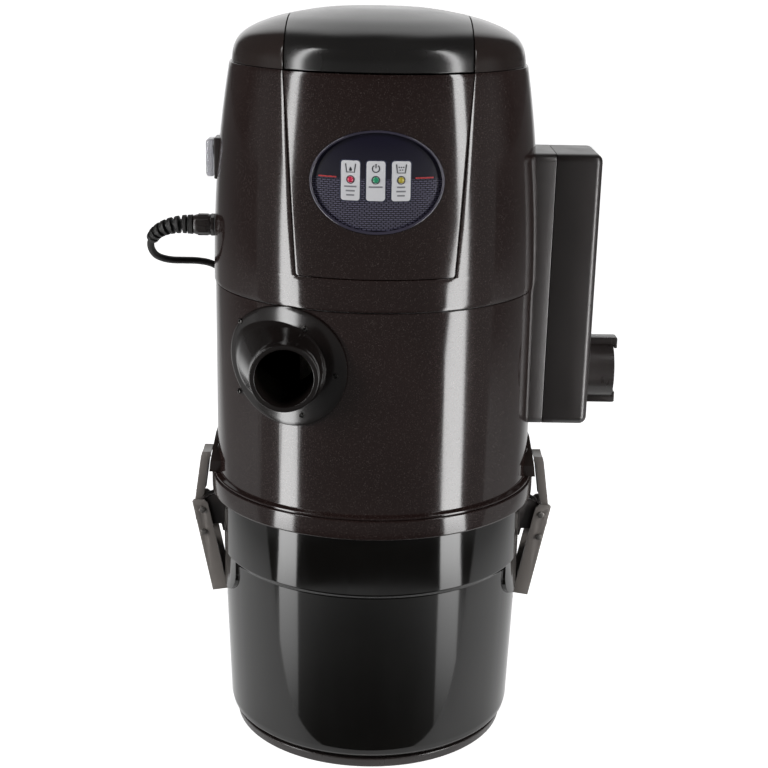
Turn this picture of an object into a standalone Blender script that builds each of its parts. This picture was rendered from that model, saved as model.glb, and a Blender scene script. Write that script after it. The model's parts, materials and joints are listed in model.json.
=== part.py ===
"""Wall-mounted wet and dry garage vacuum, standing on its collection bucket.

Metres, +Z up, -Y is the front. The origin is the centre of the flat underside of the base cup.
"""

import math

import bmesh
import bpy
from mathutils import Matrix, Vector

# ---------------------------------------------------------------- driving dimensions
GAP = 0.0003
WALL = 0.003

TOP_HEIGHT = 0.7005
CAP_SEAM = 0.6505
MID_SEAM = 0.4484
COLLAR_TOP = 0.2589
COLLAR_BOTTOM = 0.2405
BAND_BOTTOM = 0.1810
CUP_TOP = 0.0098

CAP_RADIUS = 0.1350
SHOULDER_RADIUS = 0.1368
WAIST_RADIUS = 0.1527
LOWER_RADIUS = 0.1515
FLANGE_RADIUS = 0.1560
COLLAR_RADIUS = 0.1575
RIM_RADIUS = 0.1536
BAND_TOP_RADIUS = 0.1500
BAND_LOW_RADIUS = 0.1486
BUCKET_TOP_RADIUS = 0.1462
BUCKET_LOW_RADIUS = 0.1402
CUP_RADIUS = 0.1352
POCKET_FLOOR = 0.1425        # distance from the axis of the flat behind each latch
POCKET_HALF = 0.0600
POCKET_Z = (0.1270, 0.2310)
LOBE_RADIUS = 0.1482         # the band's tongue under each latch
LOBE_HALF = 0.0720
LOBE_Z = (0.1470, 0.1836)
LOBE_CORNER = 0.0240
LAND_BACKING = ((0.0215, 0.1300, 0.1560), (0.0380, 0.1500, 0.2050), (0.0435, 0.2000, 0.2332))

STRIP_HALF = 0.0815          # half width of the centre cover at the cap seam
PANEL_LOW_HALF = 0.0690
PANEL_BOTTOM = 0.4778
PANEL_TOP = CAP_SEAM - 0.0008

WINDOW_Z = 0.5605
WINDOW_HALF = (0.0580, 0.0440)
LENS_X = (-0.0225, -0.0010, 0.0205)

INLET = (-0.077, 0.395)      # x and z of the inlet's axis, which runs along Y
INLET_MOUTH_Y = -0.1750
INLET_BORE = 0.0255
INLET_TUBE = 0.0302
SADDLE_RADIUS = 0.0540
SADDLE_RISE = 0.0035

BOX_Y = (-0.0080, 0.0720)
BOX_Z = (0.3055, 0.5690)
BOX_SPLIT_X = 0.1672
BOX_OUT_X = 0.2110
BOX_CORNER = 0.0080
BLOWER = (0.0320, 0.3530)    # y and z of the blower port's axis, which runs along X
BLOWER_END_X = 0.2350
BLOWER_RADIUS = 0.0275
BLOWER_BORE = 0.0240

SWITCH_Z = 0.5605
GLAND_Y = 0.0040
GLAND_Z = 0.4955
GLAND_END_X = -0.1734
CORD_RADIUS = 0.0035

SEAM_LIP_RADIUS = 0.1380     # inner lip of the lower housing, under the motor deck

PIVOT = (0.1670, 0.2153)     # latch lever's pin, as distance out from the axis and height
LINK_PIN = (0.1657, 0.1920)
PIN_RADIUS = 0.0020
LEVER_WALLS = (0.0150, 0.0170)
FLANGE_WALLS = (0.0105, 0.0130)
EAR_WALLS = (0.0060, 0.0090)

MOTOR_AXIS_TOP = 0.6040
DECK_Z = (0.4479, 0.4519)
INTAKE_RADIUS = 0.0200
FAN_LOW = DECK_Z[1] + 0.0056
FAN_HIGH = FAN_LOW + 0.0320
CAGE_TOP = DECK_Z[0] - GAP
CAGE_LOW = 0.3050
CAGE_RADIUS = 0.0520
CAGE_FLOOR = 0.0025
PLEATS = 30
PLEAT_RADII = (0.0630, 0.0720)
BEARING_CUP_RADIUS = 0.0165
BEARING_SEAT_RADIUS = 0.0113
FLOAT_RADIUS = 0.0240

BRACKET_Y = (0.1600, 0.1640)
BRACKET_HALF = 0.070
BRACKET_Z = (0.460, 0.630)
WALL_SCREW_X = 0.058
WALL_SCREW_Z = (0.490, 0.600)
WALL_SCREW_RADIUS = 0.0030

ROUND = 40                   # sides of the large turned shells
MIDDLE_ROUND = 24            # sides of the motor, filter and port pieces
SMALL_ROUND = 16

COIL_CENTRE = (0.0200, 0.2220)
COIL_RADIUS = 0.0385
COIL_SECTION = (0.0072, 0.0105)   # half width and half height of the wound ring


# ---------------------------------------------------------------- scene and materials
def clear_scene():
    for thing in list(bpy.data.objects):
        bpy.data.objects.remove(thing)


def new_collection(name):
    found = bpy.data.collections.new(name)
    bpy.context.scene.collection.children.link(found)
    return found


clear_scene()
PARTS = new_collection("garage_vacuum")
CUTTERS = new_collection("cutters")
CUTTERS.hide_render = True
FINISHES = {}


def finish(name, colour, roughness, metallic=0.0, alpha=1.0):
    """A Principled material, made once for each name."""
    if name not in FINISHES:
        made = bpy.data.materials.new(name)
        made.use_nodes = True
        shader = made.node_tree.nodes["Principled BSDF"]
        shader.inputs["Base Color"].default_value = (*colour, 1.0)
        shader.inputs["Roughness"].default_value = roughness
        shader.inputs["Metallic"].default_value = metallic
        shader.inputs["Alpha"].default_value = alpha
        FINISHES[name] = made
    return FINISHES[name]


def speckled_black():
    return finish("speckled_black", (0.020, 0.017, 0.016), 0.22, 0.3)


def satin_black():
    return finish("satin_black", (0.016, 0.015, 0.015), 0.38)


def gloss_brown_black():
    return finish("gloss_brown_black", (0.032, 0.024, 0.021), 0.16)


def bucket_black():
    return finish("bucket_black", (0.018, 0.018, 0.020), 0.12)


def textured_black():
    return finish("textured_black", (0.022, 0.019, 0.018), 0.45)


def latch_grey():
    return finish("latch_grey", (0.055, 0.049, 0.046), 0.42)


def bright_steel():
    return finish("bright_steel", (0.62, 0.62, 0.62), 0.25, 1.0)


def dull_steel():
    return finish("dull_steel", (0.45, 0.45, 0.46), 0.45, 1.0)


def cast_aluminium():
    return finish("cast_aluminium", (0.70, 0.71, 0.72), 0.40, 1.0)


def copper_wire():
    return finish("copper_wire", (0.55, 0.25, 0.12), 0.40, 0.8)


def black_rubber():
    return finish("black_rubber", (0.015, 0.015, 0.015), 0.70)


def grey_foam():
    return finish("grey_foam", (0.10, 0.10, 0.10), 0.95)


def filter_paper():
    return finish("filter_paper", (0.80, 0.76, 0.66), 0.90)


def board_green():
    return finish("board_green", (0.03, 0.16, 0.07), 0.50)


def bezel_grey():
    return finish("bezel_grey", (0.12, 0.11, 0.15), 0.25)


def display_navy():
    return finish("display_navy", (0.012, 0.012, 0.030), 0.20)


def clear_silicone():
    return finish("clear_silicone", (0.75, 0.75, 0.78), 0.25, 0.0, 0.45)


def clear_plastic():
    return finish("clear_plastic", (0.80, 0.80, 0.82), 0.20, 0.0, 0.45)


def lens_colour(index):
    name, colour = (("lens_red", (0.5, 0.01, 0.03)), ("lens_green", (0.01, 0.30, 0.08)),
                    ("lens_amber", (0.55, 0.35, 0.03)))[index]
    return finish(name, colour, 0.2)


# ---------------------------------------------------------------- building blocks
def place(obj, material, collection=None):
    """Puts an object in its collection, gives it its material and shades it smooth."""
    (collection or PARTS).objects.link(obj)
    if material:
        obj.data.materials.append(material)
    if obj.type == "MESH":
        obj.data.shade_smooth()
        obj.data.set_sharp_from_angle(angle=math.radians(35))
    return obj


def as_cutter(obj):
    for owner in list(obj.users_collection):
        owner.objects.unlink(obj)
    CUTTERS.objects.link(obj)
    obj.hide_render = True
    obj.display_type = "WIRE"
    return obj


def adopt(name, material):
    """Takes the primitive just added by an operator as a part."""
    obj = bpy.context.object
    for owner in list(obj.users_collection):
        owner.objects.unlink(obj)
    obj.name = name
    obj.data.name = name
    return place(obj, material)


def bevel(obj, width, segments=2, angle=40):
    made = obj.modifiers.new("rounded edges", "BEVEL")
    made.width = width
    made.segments = segments
    made.limit_method = "ANGLE"
    made.angle_limit = math.radians(angle)
    return obj


def block(name, low, high, material=None, rounding=0.0, segments=2):
    """A box between two corners, with rounded edges if asked."""
    low, high = Vector(low), Vector(high)
    bpy.ops.mesh.primitive_cube_add(size=1, location=(0, 0, 0))
    obj = adopt(name, material)
    size = high - low
    obj.data.transform(Matrix.Translation((low + high) / 2) @ Matrix.Diagonal((*size, 1)))
    if rounding:
        bevel(obj, rounding, segments)
    return obj


def rod(name, start, end, radius, material=None, sides=SMALL_ROUND, end_radius=None):
    """A cylinder, or a cone frustum, from one point to another."""
    start, end = Vector(start), Vector(end)
    along = end - start
    bpy.ops.mesh.primitive_cone_add(
        vertices=sides, radius1=radius, radius2=radius if end_radius is None else end_radius,
        depth=along.length)
    obj = adopt(name, material)
    turn = Vector((0, 0, 1)).rotation_difference(along).to_matrix().to_4x4()
    obj.data.transform(Matrix.Translation((start + end) / 2) @ turn)
    return obj


def ball(name, centre, radius, material, segments=SMALL_ROUND):
    bpy.ops.mesh.primitive_uv_sphere_add(segments=segments, ring_count=segments // 2, radius=radius)
    obj = adopt(name, material)
    obj.data.transform(Matrix.Translation(centre))
    return obj


def turned(name, profile, material=None, closed=True, steps=ROUND, centre=(0, 0)):
    """A profile of (radius, height) turned about a vertical axis; the outer side runs downwards."""
    mesh = bpy.data.meshes.new(name)
    count = len(profile)
    edges = [(i, i + 1) for i in range(count - 1)]
    if closed:
        edges.append((count - 1, 0))
    mesh.from_pydata([(r, 0, z) for r, z in profile], edges, [])
    obj = bpy.data.objects.new(name, mesh)
    place(obj, material)
    screw = obj.modifiers.new("turned", "SCREW")
    screw.axis = "Z"
    screw.angle = math.tau
    screw.steps = steps
    screw.render_steps = steps
    screw.use_merge_vertices = True
    screw.merge_threshold = 0.00002
    screw.use_smooth_shade = True
    obj.location = (*centre, 0)
    return obj


def outline(name, points, low, high, axis, material=None, holes=()):
    """A flat outline, filled and given thickness along one axis from low to high.

    Along Y the outline's points are (x, z); along X they are (y, z); along Z they are (x, y).
    """
    curve = bpy.data.curves.new(name, "CURVE")
    curve.dimensions = "2D"
    curve.fill_mode = "BOTH"
    curve.extrude = abs(high - low) / 2
    for loop in (points, *holes):
        spline = curve.splines.new("POLY")
        spline.points.add(len(loop) - 1)
        for point, (u, v) in zip(spline.points, loop):
            point.co = (u, v, 0, 1)
        spline.use_cyclic_u = True
    guide = bpy.data.objects.new(name + " guide", curve)
    CUTTERS.objects.link(guide)
    middle = (low + high) / 2
    frames = {
        "Y": Matrix(((1, 0, 0, 0), (0, 0, -1, middle), (0, 1, 0, 0), (0, 0, 0, 1))),
        "X": Matrix(((0, 0, 1, middle), (1, 0, 0, 0), (0, 1, 0, 0), (0, 0, 0, 1))),
        "Z": Matrix(((1, 0, 0, 0), (0, 1, 0, 0), (0, 0, 1, middle), (0, 0, 0, 1))),
    }
    guide.matrix_world = frames[axis]
    return solid_from_curve(name, guide, material)


def solid_from_curve(name, guide, material):
    """Makes a curve a closed mesh with its caps welded, and removes the curve."""
    bpy.context.view_layer.update()
    graph = bpy.context.evaluated_depsgraph_get()
    mesh = bpy.data.meshes.new_from_object(guide.evaluated_get(graph))
    mesh.name = name
    work = bmesh.new()
    work.from_mesh(mesh)
    bmesh.ops.remove_doubles(work, verts=work.verts, dist=0.000005)
    bmesh.ops.recalc_face_normals(work, faces=work.faces)
    work.to_mesh(mesh)
    work.free()
    mesh.transform(guide.matrix_world)
    if guide.matrix_world.determinant() < 0:
        mesh.flip_normals()
    bpy.data.objects.remove(guide)
    mesh.materials.clear()
    return place(bpy.data.objects.new(name, mesh), material)


def combine(obj, other, operation):
    """Adds a Boolean with a helper, which is hidden."""
    as_cutter(other)
    made = obj.modifiers.new(operation.lower() + " " + other.name, "BOOLEAN")
    made.operation = operation
    made.solver = "EXACT"
    made.object = other
    return obj


def cut(obj, *tools):
    for tool in tools:
        combine(obj, tool, "DIFFERENCE")
    return obj


def join(obj, *pieces):
    for piece in pieces:
        combine(obj, piece, "UNION")
    return obj


def keep_within(obj, tool):
    return combine(obj, tool, "INTERSECT")


def arc(centre, radius, start, end, count):
    """Points along an arc, from one angle to another in degrees."""
    found = []
    for i in range(count + 1):
        angle = math.radians(start + (end - start) * i / count)
        found.append((centre[0] + radius * math.cos(angle), centre[1] + radius * math.sin(angle)))
    return found


def ellipse(centre, half_width, half_height, count=32):
    return [(centre[0] + half_width * math.cos(math.tau * i / count),
             centre[1] + half_height * math.sin(math.tau * i / count)) for i in range(count)]


def rounded_rectangle(low, high, radius, steps=4):
    (u0, v0), (u1, v1) = low, high
    corners = (((u1 - radius, v1 - radius), 0), ((u0 + radius, v1 - radius), 90),
               ((u0 + radius, v0 + radius), 180), ((u1 - radius, v0 + radius), 270))
    found = []
    for centre, start in corners:
        found += arc(centre, radius, start, start + 90, steps)
    return found


def housing_radius(z):
    """Outer radius of the upper housing, which narrows towards the top."""
    share = max(0.0, (z - MID_SEAM) / (CAP_SEAM - MID_SEAM))
    return WAIST_RADIUS - (WAIST_RADIUS - SHOULDER_RADIUS) * share ** 2.2


def levels(low, high, count):
    return [low + (high - low) * i / count for i in range(count + 1)]


def housing_profile(low, high, outward, thickness, count=5):
    """A closed ring section that follows the upper housing between two heights."""
    outer = [(housing_radius(z) + outward, z) for z in levels(high, low, count)]
    inner = [(housing_radius(z) + outward - thickness, z) for z in levels(low, high, max(1, count - 3))]
    return outer + inner


# ---------------------------------------------------------------- outer casing of the head
def panel_outline(grow):
    """The front panel's trapezoid, grown or shrunk all round."""
    return [(-STRIP_HALF - grow, PANEL_TOP + grow), (-PANEL_LOW_HALF - grow, PANEL_BOTTOM - grow),
            (PANEL_LOW_HALF + grow, PANEL_BOTTOM - grow), (STRIP_HALF + grow, PANEL_TOP + grow)]


def head_solid(name, outward):
    """The filled shape of the head and lower housing, grown by a clearance, used to cut neighbours."""
    heights = levels(CAP_SEAM + 0.02, MID_SEAM, 6)
    sides = [(housing_radius(min(z, CAP_SEAM)) + outward, z) for z in heights]
    sides += [(LOWER_RADIUS + outward, MID_SEAM - 0.0004), (LOWER_RADIUS + outward, 0.20)]
    return turned(name, [(0, heights[0])] + sides + [(0, 0.20)], closed=False)


def make_upper_housing():
    low, high = MID_SEAM + 0.0005, CAP_SEAM - GAP
    shell = turned("upper_housing", housing_profile(low, high, 0, WALL), speckled_black())
    cut(shell, outline("panel opening", panel_outline(0.0006), -0.20, -0.05, "Y"))
    cut(shell, outline("switch opening",
                       rounded_rectangle((-0.0122, SWITCH_Z - 0.0172), (0.0122, SWITCH_Z + 0.0172), 0.002),
                       -0.20, -0.10, "X"))
    cut(shell, rod("gland hole", (-0.20, GLAND_Y, GLAND_Z), (-0.10, GLAND_Y, GLAND_Z), 0.0065, sides=16))
    cut(shell, rod("exhaust hole", (0.10, 0.032, 0.52), (0.20, 0.032, 0.52), 0.022))
    return shell


def make_front_panel():
    shell = turned("front_panel", housing_profile(PANEL_BOTTOM - 0.01, PANEL_TOP, 0, WALL), speckled_black())
    keep_within(shell, outline("panel shape", panel_outline(-0.0003), -0.20, -0.05, "Y"))
    cut(shell, outline("window hole", ellipse((0, WINDOW_Z), *WINDOW_HALF), -0.20, -0.05, "Y"))
    return shell


def make_display():
    """The bezel, the printed plate behind it and the three lenses on the plate."""
    low, high = WINDOW_Z - 0.06, WINDOW_Z + 0.06
    half_width, half_height = WINDOW_HALF
    bezel = turned("display_bezel", housing_profile(low, high, 0.0012, 0.0045), bezel_grey())
    keep_within(bezel, outline("bezel outside", ellipse((0, WINDOW_Z), half_width - GAP, half_height - GAP),
                               -0.20, -0.05, "Y"))
    cut(bezel, outline("bezel inside", ellipse((0, WINDOW_Z), half_width - 0.0035, half_height - 0.0035),
                       -0.20, -0.05, "Y"))
    plate = turned("display_plate", housing_profile(low, high, -0.0006, 0.0020), display_navy())
    keep_within(plate, outline("plate outside", ellipse((0, WINDOW_Z), half_width - 0.0039,
                                                        half_height - 0.0039), -0.20, -0.05, "Y"))
    names = ("indicator_lens_left", "indicator_lens_middle", "indicator_lens_right")
    for index, (name, x) in enumerate(zip(names, LENS_X)):
        radius = housing_radius(WINDOW_Z)
        y = -math.sqrt(radius ** 2 - x ** 2)
        out = Vector((x, y, 0)).normalized()
        foot = Vector((0, 0, WINDOW_Z + 0.0025)) + out * (radius - GAP)
        rod(name, foot, foot + out * 0.0016, 0.0026, lens_colour(index), 12, 0.0020)
    board = block("indicator_board", (-0.045, -0.1270, WINDOW_Z - 0.028), (0.045, -0.1254, WINDOW_Z + 0.028),
                  board_green())
    return bezel, plate, board


def dome_profile():
    """The cap's section, from the crown to the seam, and back up its inner side."""
    outer = [(0, TOP_HEIGHT), (0.045, 0.6988), (0.085, 0.6922), (0.108, 0.6850), (0.122, 0.6778),
             (0.1295, 0.6705), (0.1333, 0.6620), (CAP_RADIUS, CAP_SEAM)]
    inner = [(CAP_RADIUS - WALL, CAP_SEAM), (0.1280, 0.6665), (0.1050, 0.6825), (0.060, 0.6935),
             (0, TOP_HEIGHT - WALL)]
    return outer + inner


def make_cap_pieces():
    """The centre cover and the two shoulder caps: one dome divided by two upright planes."""
    spans = (("shoulder_cap_left", -0.2, -STRIP_HALF - 0.0003, gloss_brown_black()),
             ("top_cover", -STRIP_HALF + 0.0003, STRIP_HALF - 0.0003, satin_black()),
             ("shoulder_cap_right", STRIP_HALF + 0.0003, 0.2, gloss_brown_black()))
    for name, low, high, material in spans:
        piece = turned(name, dome_profile(), material, closed=False)
        keep_within(piece, block(name + " span", (low, -0.2, 0.6), (high, 0.2, 0.75)))


def make_lower_housing():
    top = MID_SEAM - 0.0008
    bottom = COLLAR_TOP + GAP
    inside = LOWER_RADIUS - WALL
    profile = [(LOWER_RADIUS, top), (LOWER_RADIUS, bottom + 0.0036),
               (FLANGE_RADIUS - 0.0006, bottom + 0.0024), (FLANGE_RADIUS, bottom + 0.0018),
               (FLANGE_RADIUS, bottom), (inside, bottom), (inside, top - 0.0060),
               (SEAM_LIP_RADIUS, top - 0.0040), (SEAM_LIP_RADIUS, top)]
    shell = turned("lower_housing", profile, speckled_black())
    x, z = INLET
    cut(shell, rod("inlet hole", (x, -0.19, z), (x, -0.06, z), INLET_BORE + 0.001, sides=MIDDLE_ROUND))
    return shell


def make_collar():
    profile = [(COLLAR_RADIUS - 0.0010, COLLAR_TOP), (COLLAR_RADIUS, COLLAR_TOP - 0.0010),
               (COLLAR_RADIUS, COLLAR_BOTTOM + 0.0012), (COLLAR_RADIUS - 0.0012, COLLAR_BOTTOM),
               (COLLAR_RADIUS - 0.0028, COLLAR_BOTTOM), (COLLAR_RADIUS - 0.0028, COLLAR_TOP)]
    return turned("collar", profile, gloss_brown_black())


def make_gasket():
    profile = [(0.1535, COLLAR_TOP - GAP), (0.1535, COLLAR_TOP - 0.0022), (0.1485, COLLAR_TOP - 0.0022),
               (0.1485, COLLAR_TOP - GAP)]
    return turned("tank_gasket", profile, black_rubber(), steps=ROUND)


def make_inlet_port():
    """The saddle flange on the lower housing, with its conical boss and hose tube along the Y axis."""
    x, z = INLET
    low, high = z - 0.06, z + 0.06
    outer, inner = LOWER_RADIUS + SADDLE_RISE, LOWER_RADIUS - 0.002
    saddle = turned("inlet_port", [(outer, high), (outer, low), (inner, low), (inner, high)], satin_black())
    keep_within(saddle, rod("saddle shape", (x, -0.20, z), (x, -0.03, z), SADDLE_RADIUS, sides=MIDDLE_ROUND))
    boss = rod("inlet boss", (x, -0.100, z), (x, -0.1620, z), 0.0475, sides=32, end_radius=INLET_TUBE)
    tube = rod("inlet tube", (x, -0.110, z), (x, INLET_MOUTH_Y, z), INLET_TUBE, sides=MIDDLE_ROUND)
    join(saddle, boss, tube)
    cut(saddle, head_solid("inlet body clearance", GAP))
    cut(saddle, rod("inlet bore", (x, -0.20, z), (x, -0.05, z), INLET_BORE, sides=MIDDLE_ROUND))
    return saddle


# ---------------------------------------------------------------- motor, seen from below upwards
def make_motor_deck():
    low, high = DECK_Z
    deck = turned("motor_deck", [(0.1465, high), (0.1465, low), (INTAKE_RADIUS, low), (INTAKE_RADIUS, high)],
                  satin_black(), steps=ROUND)
    return deck


def make_motor_seal():
    low = DECK_Z[1] + GAP
    return turned("motor_seal", [(0.060, low + 0.005), (0.060, low), (0.046, low), (0.046, low + 0.005)],
                  black_rubber(), steps=MIDDLE_ROUND)


def make_fan_housing():
    """The steel can round the impeller, open at the intake below and at the shaft above."""
    wall = 0.0015
    profile = [(0.0705, FAN_HIGH), (0.0720, FAN_HIGH - wall), (0.0720, FAN_LOW), (0.0220, FAN_LOW),
               (0.0220, FAN_LOW + wall), (0.0705, FAN_LOW + wall), (0.0705, FAN_HIGH - wall),
               (0.0140, FAN_HIGH - wall), (0.0140, FAN_HIGH)]
    return turned("fan_housing", profile, dull_steel(), steps=MIDDLE_ROUND)


def bladed_wheel(name, low, height, hub, radius, blades, material, sweep):
    """A back plate with a hub and swept blades standing on it."""
    wheel = turned(name, [(radius, low + 0.0015), (radius, low), (0.0044, low), (0.0044, low + height),
                          (hub, low + height), (hub, low + 0.0015)][::-1], material, steps=MIDDLE_ROUND)
    wheel.modifiers["turned"].use_normal_flip = True
    for i in range(blades):
        around = math.tau * i / blades
        blade = block(f"{name} blade {i}", (hub - 0.001, -0.0007, low + 0.0008),
                      (radius - 0.002, 0.0007, low + height - 0.001))
        blade.data.transform(Matrix.Translation((-hub, 0, 0)))
        blade.data.transform(Matrix.Rotation(sweep, 4, "Z"))
        blade.data.transform(Matrix.Translation((hub, 0, 0)))
        blade.data.transform(Matrix.Rotation(around, 4, "Z"))
        join(wheel, blade)
    return wheel


def make_rotor():
    """Everything that turns with the motor's shaft."""
    bladed_wheel("impeller", FAN_LOW + 0.0060, 0.0170, 0.0130, 0.0650, 7, cast_aluminium(), 0.45)
    rod("motor_shaft", (0, 0, FAN_LOW + 0.0010), (0, 0, MOTOR_AXIS_TOP), 0.0040, bright_steel(), 16)
    low = FAN_HIGH + 0.0200
    turned("armature", [(0.0120, low + 0.0640), (0.0120, low + 0.0460), (0.0170, low + 0.0440),
                        (0.0225, low + 0.0400), (0.0225, low), (0.0043, low), (0.0043, low + 0.0640)],
           copper_wire(), steps=SMALL_ROUND)
    bladed_wheel("cooling_fan", MOTOR_AXIS_TOP - 0.0130, 0.0110, 0.0100, 0.0420, 9, satin_black(), 0.30)


def make_stator():
    low = FAN_HIGH + 0.0210
    high = low + 0.0380
    frame = turned("stator", [(0.0450, high), (0.0450, low), (0.0235, low), (0.0235, high)],
                   copper_wire(), steps=MIDDLE_ROUND)
    return frame


def bearing_ring(name, low, high):
    outer, inner = 0.0110, 0.0043
    profile = [(outer, high), (outer, low), (inner, low), (inner, high)]
    return turned(name, profile, bright_steel(), steps=SMALL_ROUND)


def make_end_brackets():
    """The two motor frames that hold the bearings, joined in life by the stator between them."""
    low = FAN_HIGH + GAP
    cup, seat = BEARING_CUP_RADIUS, BEARING_SEAT_RADIUS
    profile = [(cup, low + 0.0110), (cup, low + 0.0022), (0.0600, low + 0.0022), (0.0600, low),
               (0.0150, low), (seat, low + 0.0030), (seat, low + 0.0110)]
    lower = turned("end_bracket_lower", profile, cast_aluminium(), steps=MIDDLE_ROUND)
    for side in (-1, 1):
        post = block(f"lower bracket post {side}", (side * 0.050 - 0.004, -0.008, low + 0.001),
                     (side * 0.050 + 0.004, 0.008, low + 0.0905))
        join(lower, post)
    bearing_ring("bearing_lower", low + 0.0035, low + 0.0105)
    top = low + 0.0910
    profile = [(cup, top + 0.0040), (cup, top - 0.0045), (seat, top - 0.0045), (seat, top + 0.0025),
               (0.0060, top + 0.0025), (0.0060, top + 0.0040)]
    upper = turned("end_bracket_upper", profile, cast_aluminium(), steps=MIDDLE_ROUND)
    for side in (-1, 1):
        arm = block(f"upper bracket arm {side}", (side * 0.0345 - 0.0200, -0.008, top),
                    (side * 0.0345 + 0.0200, 0.008, top + 0.0030))
        join(upper, arm)
    bearing_ring("bearing_upper", top - 0.0045, top + 0.0022)


def make_motor_cover():
    """The moulded hood that closes off the motor chamber, with vents at its top."""
    low, high = DECK_Z[1] + GAP, 0.6180
    profile = [(0.0560, high), (0.0760, high - 0.0120), (0.0820, high - 0.0350), (0.0860, low + 0.004),
               (0.0960, low + 0.004), (0.0960, low), (0.0840, low), (0.0800, high - 0.0350),
               (0.0740, high - 0.0140), (0.0550, high - 0.0022), (0.0200, high - 0.0022), (0.0200, high)]
    return turned("motor_cover", profile, satin_black(), steps=MIDDLE_ROUND)


# ---------------------------------------------------------------- filter and float
def make_filter_cage():
    outer, stud = CAGE_RADIUS, 0.0050
    inside = outer - 0.0025
    profile = [(outer + 0.0080, CAGE_TOP), (outer + 0.0080, CAGE_TOP - 0.0030), (outer, CAGE_TOP - 0.0030),
               (outer, CAGE_LOW), (stud, CAGE_LOW), (stud, CAGE_LOW - 0.0160), (0, CAGE_LOW - 0.0160)]
    inner = [(0, CAGE_LOW + CAGE_FLOOR), (inside, CAGE_LOW + CAGE_FLOOR), (inside, CAGE_TOP)]
    cage = turned("filter_cage", inner + profile, satin_black(), closed=False, steps=MIDDLE_ROUND)
    for i in range(4):
        angle = math.tau * i / 8
        window = block(f"cage window {i}", (-0.07, -0.0130, CAGE_LOW + 0.020),
                       (0.07, 0.0130, CAGE_TOP - 0.020))
        window.data.transform(Matrix.Rotation(angle, 4, "Z"))
        cut(cage, window)
    return cage


def make_filter_cartridge():
    """A pleated paper cylinder round the cage."""
    points = []
    for i in range(2 * PLEATS):
        radius = PLEAT_RADII[i % 2]
        angle = math.pi * i / PLEATS
        points.append((radius * math.cos(angle), radius * math.sin(angle)))
    hole = ellipse((0, 0), CAGE_RADIUS + 0.0020, CAGE_RADIUS + 0.0020, 24)
    low, high = CAGE_LOW - 0.0002, CAGE_TOP - 0.0040
    return outline("filter_cartridge", points, low, high, "Z", filter_paper(), [hole])


def make_filter_nut():
    """The retaining plate and hand nut on the cage's stud."""
    top = CAGE_LOW - 0.0006
    nut = turned("filter_nut", [(0.0700, top), (0.0700, top - 0.0025), (0.0180, top - 0.0025),
                                (0.0160, top - 0.0130), (0.0054, top - 0.0130), (0.0054, top)],
                 satin_black(), steps=MIDDLE_ROUND)
    wing = block("nut wings", (-0.0260, -0.0025, top - 0.0130), (0.0260, 0.0025, top - 0.0015))
    hollow = rod("nut thread clearance", (0, 0, top + 0.001), (0, 0, top - 0.02), 0.0062, sides=16)
    join(nut, wing)
    cut(nut, hollow)
    return nut


def make_float_ball():
    """The hollow ball that rises on water inside the cage and closes the intake."""
    seat = CAGE_LOW + CAGE_FLOOR + GAP
    return ball("float_ball", (0, 0, seat + FLOAT_RADIUS), FLOAT_RADIUS, clear_plastic(), 16)


# ---------------------------------------------------------------- exhaust box and blower port
def box_outline(inset):
    return rounded_rectangle((BOX_Y[0] + inset, BOX_Z[0] + inset), (BOX_Y[1] - inset, BOX_Z[1] - inset),
                             BOX_CORNER - inset if inset < BOX_CORNER else 0.001)


def make_exhaust_box():
    base = outline("exhaust_box_base", box_outline(0), 0.1100, BOX_SPLIT_X, "X", textured_black())
    hollow = outline("base hollow", box_outline(WALL), 0.1000, BOX_SPLIT_X + 0.01, "X")
    cut(base, hollow, head_solid("box body clearance", GAP))
    cover = outline("exhaust_box_cover", box_outline(0), BOX_SPLIT_X + GAP, BOX_OUT_X, "X", textured_black())
    rim = outline("cover hollow", box_outline(WALL), BOX_SPLIT_X - 0.01, BOX_OUT_X - WALL, "X")
    soften = bevel(cover, 0.0070, 2, 60)
    soften.modifiers["rounded edges"].limit_method = "WEIGHT"
    weigh_outer_edges(cover, BOX_OUT_X)
    y, z = BLOWER
    cut(cover, rim, rod("blower hole", (BOX_OUT_X - 0.01, y, z), (BOX_OUT_X + 0.01, y, z),
                        BLOWER_RADIUS + GAP, sides=MIDDLE_ROUND))
    block("exhaust_foam", (BOX_SPLIT_X + 0.0040, BOX_Y[0] + 0.006, 0.4000),
          (BOX_OUT_X - 0.0065, BOX_Y[1] - 0.006, BOX_Z[1] - 0.008), grey_foam())
    return base, cover


def weigh_outer_edges(obj, x):
    """Marks the edges on the outer face for the Bevel."""
    mesh = obj.data
    weights = mesh.attributes.new("bevel_weight_edge", "FLOAT", "EDGE")
    for edge in mesh.edges:
        ends = [mesh.vertices[i].co.x for i in edge.vertices]
        weights.data[edge.index].value = 1.0 if min(ends) > x - 0.0001 else 0.0


def make_blower_port():
    y, z = BLOWER
    start = BOX_OUT_X - WALL - 0.004
    port = rod("blower_port", (start, y, z), (BLOWER_END_X, y, z), BLOWER_RADIUS, satin_black(), MIDDLE_ROUND)
    for side in (-1, 1):
        tab = block(f"bayonet tab {side}", (BOX_OUT_X + 0.0006, y - 0.0075, z + side * 0.0295 - 0.0035),
                    (BLOWER_END_X + 0.0042, y + 0.0075, z + side * 0.0295 + 0.0035))
        hook = block(f"bayonet hook {side}", (BLOWER_END_X + 0.0012, y - 0.0075, z + side * 0.0270 - 0.0050),
                     (BLOWER_END_X + 0.0042, y + 0.0075, z + side * 0.0270 + 0.0050))
        join(port, tab, hook)
    flange = rod("port flange", (start, y, z), (start + 0.0025, y, z), BLOWER_RADIUS + 0.004,
                 sides=MIDDLE_ROUND)
    join(port, flange)
    cut(port, rod("blower bore", (start - 0.01, y, z), (BLOWER_END_X + 0.02, y, z), BLOWER_BORE,
                  sides=MIDDLE_ROUND))
    return port


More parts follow.
